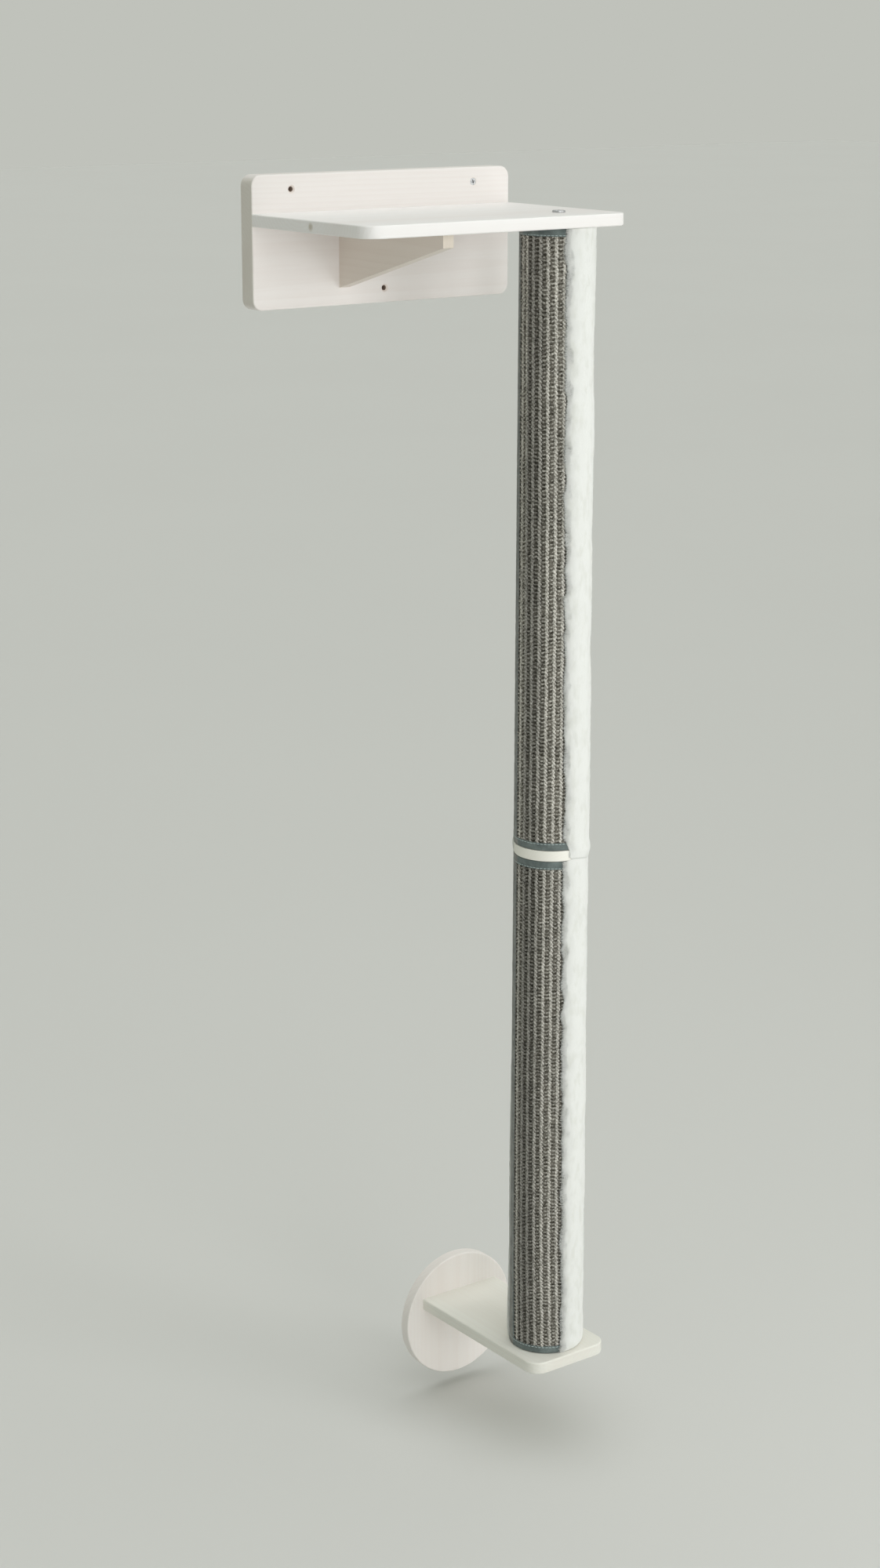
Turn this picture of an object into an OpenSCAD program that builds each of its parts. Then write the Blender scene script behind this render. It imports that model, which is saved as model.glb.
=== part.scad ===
// Wall-mounted cat scratching post.
// A wall board carries a lying shelf, two covered posts hang under the shelf's right end
// with a wooden spacer disc between them, and the lower post stands on a foot plate that
// comes out of a round wall disc. Nothing on it moves: every joint is bolted or screwed.
// Origin: the centre of the wall board's back face. +Z is up and -Y points into the room.

/* [Wall board] */
// Width of the wall board, and of the shelf in front of it
board_w = 410; // [380:5:520]
// Height of the wall board
board_h = 170; // [152:2:220]
// Thickness of the wall board
board_t = 25; // [20:1:30]
// Radius of the wall board's corners
board_corner_r = 14; // [6:1:22]
// Distance between the two upper wall holes
wall_hole_span = 290; // [240:5:320]
// Distance of each wall hole from the board's upper or lower edge
wall_hole_inset = 19; // [16:0.5:24]
// Diameter of the wall holes
wall_hole_d = 6.5; // [5:0.5:7.5]
// Diameter of the countersink at the front of each wall hole
wall_sink_d = 10.6; // [9:0.2:13]

/* [Shelf] */
// Depth of the shelf in front of the wall board
shelf_d = 254; // [248:2:300]
// Thickness of the shelf
shelf_t = 16; // [14:1:22]
// Radius of the shelf's two front corners
shelf_corner_r = 22; // [10:1:40]
// Height of the wall board that stands above the shelf
shelf_drop = 48; // [36:1:60]

/* [Shelf bracket] */
// Thickness of the bracket
bracket_t = 16; // [12:1:22]
// Length of the bracket along the shelf
bracket_len = 226; // [160:2:240]
// Height of the bracket at the wall board
bracket_root_h = 83; // [60:1:86]
// Height of the bracket at its front end
bracket_tip_h = 18; // [12:1:32]
// Distance of the bracket's left face from the board's left end
bracket_inset = 133; // [90:0.5:180]

/* [Posts] */
// Distance of the post's axis from the board's right end
post_end_inset = 70; // [62:1:110]
// Distance of the post's axis from the wall
post_wall_dist = 219.5; // [200:0.5:223]
// Length of the upper post
upper_post_len = 822; // [500:1:1000]
// Length of the lower post
lower_post_len = 724; // [500:1:1000]
// Outer diameter of the cardboard tubes
tube_d = 90; // [80:1:96]
// Wall of the cardboard tubes
tube_wall = 5; // [3:0.5:8]
// Thickness of the wooden plugs in the tube ends
plug_t = 22; // [20:1:30]
// Thickness of the wooden spacer disc between the posts
spacer_t = 14.5; // [10:0.5:24]

/* [Post covers] */
// Thickness of the scratch mat, to the top of its ribs
mat_t = 4.7; // [4.6:0.1:6.5]
// Width of the scratch mat round the post, in degrees
mat_turn = 124; // [80:1:170]
// Turn of the mat's right edge to the left of straight ahead, in degrees
mat_edge_turn = 9; // [0:1:40]
// Distance from one rib of the mat to the next, round its outside
rib_pitch = 10.2; // [7:0.2:16]
// Diameter of the round ribs
rib_d = 4.6; // [3:0.2:4.6]
// Height of the ribs above the mat's ground
rib_rise = 1.2; // [0.6:0.1:1.5]
// Thickness of the binding tape that is folded over the mat's edges
tape_t = 0.8; // [0.5:0.1:1]
// Width of the tape that shows at the mat's upper and lower edges
end_tape_w = 11; // [8:0.5:18]
// Width of the tape that shows at the mat's left edge
side_tape_w = 25; // [10:0.5:30]
// Thickness of the plush cover with its pile
plush_t = 7.7; // [6:0.1:12]
// Rounding of the plush at both ends of a post
plush_end_r = 5; // [2:0.5:5.5]

/* [Foot] */
// Width of the foot plate
plate_w = 132; // [124:1:180]
// Depth of the foot plate in front of the wall disc
plate_d = 264; // [258:1:320]
// Thickness of the foot plate
plate_t = 17; // [15:1:24]
// Radius of the foot plate's two front corners
plate_corner_r = 22; // [8:1:40]
// Diameter of the wall disc
disc_d = 187; // [182:1:260]
// Thickness of the wall disc
disc_t = 16; // [12:1:22]
// Distance of the wall disc's centre below the foot plate
disc_drop = 22.5; // [0:0.5:30]

/* [Fasteners] */
// Thread diameter of the two post bolts and of the stud
bolt_d = 8; // [6:1:10]
// Head diameter of the post bolts
bolt_head_d = 17; // [14:0.5:22]
// Head height of the post bolts
bolt_head_h = 2.6; // [2:0.2:5]
// Width across the flats of the hexagon socket
socket_af = 5; // [4:0.5:6]
// Depth of the hexagon socket
socket_depth = 4; // [2:0.5:5]
// Outer diameter of the threaded inserts
insert_d = 12; // [11.5:0.5:15]
// Length of the threaded inserts, with their flange
insert_len = 18; // [14:0.5:19]
// Flange diameter of the threaded inserts
insert_flange_d = 17; // [16:0.5:24]
// Flange thickness of the threaded inserts
insert_flange_t = 1.6; // [1:0.2:3]
// Diameter of the wood screws
screw_d = 4; // [3:0.5:5]
// Length of the wood screws
screw_len = 50; // [40:1:60]
// Head diameter of the wood screws
screw_head_d = 8; // [7:0.5:10]
// Diameter of the wooden dowels
dowel_d = 8; // [6:1:10]
// Depth of each dowel in the shelf
dowel_up = 10; // [6:1:12]
// Depth of each dowel in the bracket
dowel_down = 18; // [10:1:20]
// Distance of the outer shelf screws from the board's ends
shelf_screw_inset = 45; // [30:1:70]
// Distance between the two screws in the foot plate
foot_screw_span = 80; // [50:1:90]

/* [Fits] */
// Rounding of the boards' edges
edge_r = 2; // [1:0.5:4]
// Gap round a fastener, insert, dowel or plug
fit_gap = 0.1; // [0.05:0.05:0.2]
// Gap between a cover and what it lies on
cover_gap = 0.3; // [0.2:0.1:0.5]
// Clearance of the bolt holes and of the stud's hole, on the diameter
bolt_clearance = 1; // [0.6:0.2:1.6]

/* [Hidden] */

$fn = 96;
cut = 1;

wood_white = [0.90, 0.89, 0.86];
wood_bare = [0.87, 0.80, 0.66];
cardboard = [0.66, 0.54, 0.38];
zinc = [0.72, 0.72, 0.73];
mat_grey = [0.56, 0.53, 0.48];
tape_grey = [0.40, 0.46, 0.47];
plush_white = [0.94, 0.94, 0.92];

shelf_z = board_h / 2 - shelf_drop - shelf_t;
post_x = board_w / 2 - post_end_inset;
upper_z = shelf_z - upper_post_len;
spacer_z = upper_z - spacer_t;
lower_z = spacer_z - lower_post_len;
plate_z = lower_z - plate_t;
disc_z = plate_z - disc_drop;

bracket_x = -board_w / 2 + bracket_inset + bracket_t / 2;
bracket_screw_z = [shelf_z - bracket_root_h / 4, shelf_z - bracket_root_h * 3 / 4];
dowel_y = [-board_t - bracket_len / 4, -board_t - bracket_len * 3 / 4];
shelf_screw_x = [-board_w / 2 + shelf_screw_inset, 0, board_w / 2 - shelf_screw_inset];
foot_screw_x = [post_x - foot_screw_span / 2, post_x + foot_screw_span / 2];
wall_hole_z = board_h / 2 - wall_hole_inset;

tube_r = tube_d / 2;
tube_bore_r = tube_r - tube_wall;
cover_in_r = tube_r + cover_gap;
cover_r = cover_in_r + mat_t;
screw_sink = 0.4;
screw_head_h = (screw_head_d - screw_d) / 2;

// Angles round the post, counted from +X towards +Y
mat_end = 270 - mat_edge_turn;
mat_start = mat_end - mat_turn;
seam_turn = arc_turn(cover_gap, cover_in_r);

// Turn in degrees that a length makes on a circle
function arc_turn(length, r) = length / r * 180 / PI;

// Half outline of a board's rim, flat behind and rounded at its front edge
module front_rounded(reach, t) {
    square([reach, t - edge_r]);
    square([reach - edge_r, t]);
    translate([reach - edge_r, t - edge_r])
        circle(edge_r, $fn = 48);
}

// Half outline of a board's rim, rounded at both edges
module both_rounded(reach, t, r) {
    translate([0, r])
        square([reach, t - 2 * r]);
    square([reach - r, t]);
    translate([reach - r, r])
        circle(r, $fn = 48);
    translate([reach - r, t - r])
        circle(r, $fn = 48);
}

// Upright board: back face on the XY plane, all four corners round, front edges rounded
module wall_blank(w, h, t, r) {
    translate([r - w / 2, r - h / 2, 0])
        cube([w - 2 * r, h - 2 * r, t]);
    for (side = [[0, w, h], [90, h, w], [180, w, h], [270, h, w]])
        rotate([0, 0, side[0]])
            translate([side[1] / 2 - r, side[2] / 2 - r, 0]) {
                rotate([90, 0, 0])
                    linear_extrude(side[2] - 2 * r)
                        front_rounded(r, t);
                rotate_extrude(angle = 90)
                    front_rounded(r, t);
            }
}

// Lying board: back edge straight at Y 0, front corners round, front and side edges rounded
module lying_blank(w, d, t, r) {
    translate([r - w / 2, r - d, 0])
        cube([w - 2 * r, d - r, t]);
    for (side = [0, 1])
        mirror([side, 0, 0])
            translate([w / 2 - r, 0, 0]) {
                rotate([90, 0, 0])
                    linear_extrude(d - r)
                        both_rounded(r, t, edge_r);
                translate([0, r - d, 0])
                    rotate([0, 0, -90])
                        rotate_extrude(angle = 90)
                            both_rounded(r, t, edge_r);
            }
    translate([w / 2 - r, r - d, 0])
        rotate([90, 0, -90])
            linear_extrude(w - 2 * r)
                both_rounded(r, t, edge_r);
}

// Part of a round shell between two radii, two heights and two angles
module shell_part(r_in, r_out, z_low, z_high, from, to) {
    rotate([0, 0, from])
        rotate_extrude(angle = to - from)
            translate([r_in, z_low])
                square([r_out - r_in, z_high - z_low]);
}

// Countersunk wood screw with a cross recess: head up at Z 0, tip down
module wood_screw() {
    r = screw_d / 2;
    recess_w = 1;
    recess_depth = 1.6;
    difference() {
        rotate_extrude($fn = 48)
            polygon([
                [0, 0], [screw_head_d / 2, 0], [r, -screw_head_h],
                [r, 2 * r - screw_len], [0, -screw_len]
            ]);
        for (turn = [0, 90])
            rotate([0, 0, turn])
                translate([-screw_head_d / 4, -recess_w / 2, -recess_depth])
                    cube([screw_head_d / 2, recess_w, recess_depth + cut]);
    }
}

// What a wood screw takes out of the boards, with its countersink from the surface
module screw_hole() {
    r = screw_d / 2 + fit_gap;
    sink_r = screw_head_d / 2 + fit_gap;
    translate([0, 0, -screw_len - fit_gap])
        cylinder(h = screw_len + fit_gap + cut, r = r, $fn = 48);
    translate([0, 0, -screw_head_h])
        cylinder(h = screw_head_h, r1 = r, r2 = sink_r, $fn = 48);
    cylinder(h = screw_sink + cut, r = sink_r, $fn = 48);
}

// Places children at each screw that is driven from the wall side at height z
module from_behind(xs, zs) {
    for (x = xs)
        for (z = zs)
            translate([x, -screw_sink, z])
                rotate([-90, 0, 0])
                    children();
}

// Low round-headed bolt with a hexagon socket: head up on Z 0, shank down
module post_bolt(len) {
    difference() {
        union() {
            rotate_extrude()
                both_rounded(bolt_head_d / 2, bolt_head_h, 0.8);
            translate([0, 0, -len])
                cylinder(h = len + bolt_head_h / 2, r = bolt_d / 2, $fn = 48);
        }
        translate([0, 0, bolt_head_h - socket_depth])
            cylinder(h = socket_depth + cut, d = socket_af / cos(30), $fn = 6);
    }
}

// Flanged insert with a threaded bore: flange up at Z 0, body down
module threaded_insert() {
    difference() {
        union() {
            translate([0, 0, -insert_len])
                cylinder(h = insert_len, r = insert_d / 2, $fn = 48);
            translate([0, 0, -insert_flange_t])
                cylinder(h = insert_flange_t, r = insert_flange_d / 2, $fn = 48);
        }
        translate([0, 0, -insert_len - cut])
            cylinder(h = insert_len + 2 * cut, r = bolt_d / 2 + fit_gap, $fn = 48);
    }
}

// Wooden plug with a seat for the insert: outer face up at Z 0
module tube_plug() {
    difference() {
        translate([0, 0, -plug_t])
            cylinder(h = plug_t, r = tube_bore_r - fit_gap);
        translate([0, 0, -plug_t - cut])
            cylinder(h = plug_t + 2 * cut, r = insert_d / 2 + fit_gap, $fn = 48);
        translate([0, 0, -insert_flange_t])
            cylinder(h = insert_flange_t + cut, r = insert_flange_d / 2 + fit_gap, $fn = 48);
    }
}

// Places children at a height of the post's axis, outer face up or down
module on_post(z, facing_down = false) {
    translate([post_x, -post_wall_dist, z])
        rotate([facing_down ? 180 : 0, 0, 0])
            children();
}

// Cardboard tube of a post
module post_tube(len) {
    difference() {
        cylinder(h = len, r = tube_r);
        translate([0, 0, -cut])
            cylinder(h = len + 2 * cut, r = tube_bore_r);
    }
}

// Ribbed scratch mat: a thinner edge all round sits inside the folded tape
module scratch_mat(len) {
    low = cover_gap + tape_t + fit_gap;
    window_low = cover_gap + end_tape_w + fit_gap;
    window_start = mat_start + arc_turn(side_tape_w + fit_gap, cover_r);
    window_turn = mat_end - window_start;
    rib_end = 1;
    rib_count = floor(window_turn / arc_turn(rib_pitch, cover_r));
    rib_turn = window_turn / rib_count;
    shell_part(
        cover_in_r + tape_t + fit_gap, cover_r - tape_t - fit_gap,
        low, len - low,
        mat_start + arc_turn(tape_t + fit_gap, cover_in_r), mat_end);
    shell_part(
        cover_in_r, cover_r - rib_rise,
        window_low, len - window_low, window_start, mat_end);
    for (i = [0.5 : rib_count])
        rotate([0, 0, window_start + i * rib_turn])
            translate([cover_r - rib_d / 2, 0, window_low + rib_end])
                cylinder(h = len - 2 * (window_low + rib_end), r = rib_d / 2, $fn = 24);
}

// Tape folded over the mat's upper, left and lower edges
module mat_binding(len) {
    past = mat_end + 5;
    difference() {
        shell_part(cover_in_r, cover_r, cover_gap, len - cover_gap, mat_start, mat_end);
        shell_part(
            cover_in_r + tape_t, cover_r - tape_t,
            cover_gap + tape_t, len - cover_gap - tape_t,
            mat_start + arc_turn(tape_t, cover_in_r), past);
        shell_part(
            cover_in_r - cut, cover_r + cut,
            cover_gap + end_tape_w, len - cover_gap - end_tape_w,
            mat_start + arc_turn(side_tape_w, cover_r), past);
    }
}

// Plush cover round the rest of the post, drawn in at both ends
module plush_cover(len) {
    rotate([0, 0, mat_end + seam_turn])
        rotate_extrude(angle = 360 - mat_turn - 2 * seam_turn)
            translate([cover_in_r, cover_gap])
                both_rounded(plush_t, len - 2 * cover_gap, plush_end_r);
}

module wall_board() {
    sink_h = (wall_sink_d - wall_hole_d) / 2;
    color(wood_white)
        difference() {
            rotate([90, 0, 0])
                wall_blank(board_w, board_h, board_t, board_corner_r);
            for (hole = [
                [-wall_hole_span / 2, wall_hole_z], [wall_hole_span / 2, wall_hole_z], [0, -wall_hole_z]
            ])
                translate([hole[0], 0, hole[1]])
                    rotate([90, 0, 0]) {
                        translate([0, 0, -cut])
                            cylinder(h = board_t + 2 * cut, r = wall_hole_d / 2, $fn = 48);
                        translate([0, 0, board_t - sink_h])
                            cylinder(h = sink_h, r1 = wall_hole_d / 2, r2 = wall_sink_d / 2, $fn = 48);
                    }
            from_behind(shelf_screw_x, [shelf_z + shelf_t / 2])
                screw_hole();
            from_behind([bracket_x], bracket_screw_z)
                screw_hole();
        }
}

module shelf() {
    color(wood_white)
        difference() {
            translate([0, -board_t, shelf_z])
                lying_blank(board_w, shelf_d, shelf_t, shelf_corner_r);
            on_post(shelf_z - cut)
                cylinder(h = shelf_t + 2 * cut, r = (bolt_d + bolt_clearance) / 2, $fn = 48);
            from_behind(shelf_screw_x, [shelf_z + shelf_t / 2])
                screw_hole();
            for (y = dowel_y)
                translate([bracket_x, y, shelf_z - cut])
                    cylinder(h = dowel_up + fit_gap + cut, r = dowel_d / 2 + fit_gap, $fn = 48);
        }
}

module shelf_bracket() {
    color(wood_white)
        difference() {
            translate([bracket_x + bracket_t / 2, -board_t, shelf_z])
                rotate([90, 0, -90])
                    linear_extrude(bracket_t)
                        polygon([
                            [0, 0], [bracket_len, 0],
                            [bracket_len, -bracket_tip_h], [0, -bracket_root_h]
                        ]);
            from_behind([bracket_x], bracket_screw_z)
                screw_hole();
            for (y = dowel_y)
                translate([bracket_x, y, shelf_z - dowel_down - fit_gap])
                    cylinder(h = dowel_down + fit_gap + cut, r = dowel_d / 2 + fit_gap, $fn = 48);
        }
}

module wall_disc() {
    color(wood_white)
        difference() {
            translate([post_x, 0, disc_z])
                rotate([90, 0, 0])
                    rotate_extrude()
                        front_rounded(disc_d / 2, disc_t);
            from_behind(foot_screw_x, [plate_z + plate_t / 2])
                screw_hole();
        }
}

module foot_plate() {
    color(wood_white)
        difference() {
            translate([post_x, -disc_t, plate_z])
                lying_blank(plate_w, plate_d, plate_t, plate_corner_r);
            on_post(plate_z - cut)
                cylinder(h = plate_t + 2 * cut, r = (bolt_d + bolt_clearance) / 2, $fn = 48);
            from_behind(foot_screw_x, [plate_z + plate_t / 2])
                screw_hole();
        }
}

module spacer_disc() {
    color(wood_bare)
        on_post(spacer_z)
            difference() {
                rotate_extrude()
                    both_rounded(cover_r, spacer_t, 1);
                translate([0, 0, -cut])
                    cylinder(h = spacer_t + 2 * cut, r = (bolt_d + bolt_clearance) / 2, $fn = 48);
            }
}

module upper_post_tube() {
    color(cardboard)
        on_post(upper_z)
            post_tube(upper_post_len);
}

module lower_post_tube() {
    color(cardboard)
        on_post(lower_z)
            post_tube(lower_post_len);
}

module upper_post_top_plug() {
    color(wood_bare)
        on_post(shelf_z)
            tube_plug();
}

module upper_post_bottom_plug() {
    color(wood_bare)
        on_post(upper_z, true)
            tube_plug();
}

module lower_post_top_plug() {
    color(wood_bare)
        on_post(spacer_z)
            tube_plug();
}

module lower_post_bottom_plug() {
    color(wood_bare)
        on_post(lower_z, true)
            tube_plug();
}

module upper_post_top_insert() {
    color(zinc)
        on_post(shelf_z)
            threaded_insert();
}

module upper_post_bottom_insert() {
    color(zinc)
        on_post(upper_z, true)
            threaded_insert();
}

module lower_post_top_insert() {
    color(zinc)
        on_post(spacer_z)
            threaded_insert();
}

module lower_post_bottom_insert() {
    color(zinc)
        on_post(lower_z, true)
            threaded_insert();
}

module joining_stud() {
    color(zinc)
        on_post(spacer_z - insert_len)
            cylinder(h = spacer_t + 2 * insert_len, r = bolt_d / 2, $fn = 48);
}

module shelf_bolt() {
    color(zinc)
        on_post(shelf_z + shelf_t)
            post_bolt(shelf_t + insert_len);
}

module foot_bolt() {
    color(zinc)
        on_post(plate_z, true)
            post_bolt(plate_t + insert_len);
}

module shelf_screws() {
    color(zinc)
        from_behind(shelf_screw_x, [shelf_z + shelf_t / 2])
            wood_screw();
}

module bracket_screws() {
    color(zinc)
        from_behind([bracket_x], bracket_screw_z)
            wood_screw();
}

module bracket_dowels() {
    color(wood_bare)
        for (y = dowel_y)
            translate([bracket_x, y, shelf_z - dowel_down])
                cylinder(h = dowel_down + dowel_up, r = dowel_d / 2, $fn = 48);
}

module foot_screws() {
    color(zinc)
        from_behind(foot_screw_x, [plate_z + plate_t / 2])
            wood_screw();
}

module upper_scratch_mat() {
    color(mat_grey)
        on_post(upper_z)
            scratch_mat(upper_post_len);
}

module lower_scratch_mat() {
    color(mat_grey)
        on_post(lower_z)
            scratch_mat(lower_post_len);
}

module upper_mat_binding() {
    color(tape_grey)
        on_post(upper_z)
            mat_binding(upper_post_len);
}

module lower_mat_binding() {
    color(tape_grey)
        on_post(lower_z)
            mat_binding(lower_post_len);
}

module upper_plush_cover() {
    color(plush_white)
        on_post(upper_z)
            plush_cover(upper_post_len);
}

module lower_plush_cover() {
    color(plush_white)
        on_post(lower_z)
            plush_cover(lower_post_len);
}

wall_board();
shelf();
shelf_bracket();
wall_disc();
foot_plate();
spacer_disc();
upper_post_tube();
lower_post_tube();
upper_post_top_plug();
upper_post_bottom_plug();
lower_post_top_plug();
lower_post_bottom_plug();
upper_post_top_insert();
upper_post_bottom_insert();
lower_post_top_insert();
lower_post_bottom_insert();
joining_stud();
shelf_bolt();
foot_bolt();
shelf_screws();
bracket_screws();
bracket_dowels();
foot_screws();
upper_scratch_mat();
lower_scratch_mat();
upper_mat_binding();
lower_mat_binding();
upper_plush_cover();
lower_plush_cover();
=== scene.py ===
"""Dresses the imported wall-mounted cat scratching post.

The rigid parts keep their solids and get their finishes here. The scratch mats, their folded
binding and the plush covers are rebuilt as yarn, tape and pile round the same posts.
Lengths are in metres in the frame of the CAD part: the wall is the plane Y = 0, the room is on
its -Y side, and +Z is up. Turns round a post are in degrees, counted from +X towards +Y, but a
shader counts them in radians, from -pi to pi.
"""

import logging
import math
from collections.abc import Iterable
from dataclasses import dataclass, field
from enum import Enum

import bmesh
import bpy
import numpy as np
from mathutils import Matrix, Vector


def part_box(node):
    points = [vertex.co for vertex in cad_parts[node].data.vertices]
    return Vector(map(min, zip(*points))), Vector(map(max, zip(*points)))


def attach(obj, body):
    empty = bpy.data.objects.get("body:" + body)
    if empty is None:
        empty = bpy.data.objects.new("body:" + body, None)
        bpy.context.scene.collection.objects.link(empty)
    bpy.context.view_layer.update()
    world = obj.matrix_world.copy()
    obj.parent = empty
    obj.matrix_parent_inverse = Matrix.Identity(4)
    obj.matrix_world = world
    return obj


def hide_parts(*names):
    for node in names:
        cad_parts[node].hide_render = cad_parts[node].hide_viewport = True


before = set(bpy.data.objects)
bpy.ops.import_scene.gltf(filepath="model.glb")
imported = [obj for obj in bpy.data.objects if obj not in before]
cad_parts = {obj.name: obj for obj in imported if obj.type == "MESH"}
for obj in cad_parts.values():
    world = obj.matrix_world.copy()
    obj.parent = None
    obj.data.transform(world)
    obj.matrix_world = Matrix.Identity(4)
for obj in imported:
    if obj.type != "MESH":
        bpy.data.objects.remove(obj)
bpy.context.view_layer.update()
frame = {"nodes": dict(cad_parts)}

log = logging.getLogger("scratching_post")

MM = 0.001
ROOT = "root"
WALL_HOLES = ((-145 * MM, 66 * MM), (145 * MM, 66 * MM), (0.0, -66 * MM))
SCREWED_HOLE = WALL_HOLES[1]
ENDS = [0, -1]
Colour = tuple[float, float, float]
Place = tuple[float, float, float]
Numbers = float | np.ndarray
Socket = bpy.types.NodeSocket


def screen(red: int, green: int, blue: int) -> Colour:
    """Linear colour of a screen colour.

    Args:
        red: Red, from 0 to 255.
        green: Green, from 0 to 255.
        blue: Blue, from 0 to 255.

    Returns:
        The colour that a shader takes.
    """

    def linear(value: int) -> float:
        """Linear value of one channel."""
        share = value / 255
        return share / 12.92 if share <= 0.04045 else ((share + 0.055) / 1.055) ** 2.4

    return linear(red), linear(green), linear(blue)


def toned(colour: Colour, share: Colour) -> Colour:
    """A colour whose channels are each scaled by a share."""
    return tuple(value * part for value, part in zip(colour, share))


def ease(share: np.ndarray) -> np.ndarray:
    """A share from 0 to 1 that starts and ends softly."""
    return share * share * (3 - 2 * share)


def share_past(values: Numbers, start: float, run: float) -> Numbers:
    """Share of a run, held from 0 to 1, that values have gone past its start."""
    return np.clip((values - start) / run, 0, 1)


def link(thing: bpy.types.Object) -> bpy.types.Object:
    """Links a new object to the scene and hands it back."""
    bpy.context.scene.collection.objects.link(thing)
    return thing


class Slot(Enum):
    """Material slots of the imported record."""

    GLAZED_PINE = "glazed_pine"
    BARE_PINE = "bare_pine"
    PLUG_WOOD = "plug_wood"
    CARDBOARD = "cardboard"
    ZINC = "zinc_steel"
    MAT = "scratch_mat"
    TAPE = "binding_tape"
    PLUSH = "white_plush"


class Grain(Enum):
    """Axis that the grain of a board follows, as the scale that flattens that axis."""

    ALONG_X = (0.0, 1.0, 1.0)
    ALONG_Y = (1.0, 0.0, 1.0)
    ALONG_Z = (1.0, 1.0, 0.0)

    def drawn(self, share: float) -> Place:
        """Scale that draws a pattern out along the grain, to a share of its own scale there."""
        return tuple(across or share for across in self.value)

    def along(self) -> Place:
        """Scale that keeps only the axis of the grain."""
        return tuple(1 - across for across in self.value)


@dataclass(frozen=True)
class PostAxis:
    """Upright line through both posts."""

    x: float
    y: float

    def place(self, radius: Numbers, turn: Numbers, height: Numbers) -> np.ndarray:
        """Points at a radius, a turn in degrees and a height, with their coordinates last."""
        radius, turn, height = np.broadcast_arrays(radius, np.radians(turn), height)
        return np.stack([self.x + radius * np.cos(turn), self.y + radius * np.sin(turn), height], -1)


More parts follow.
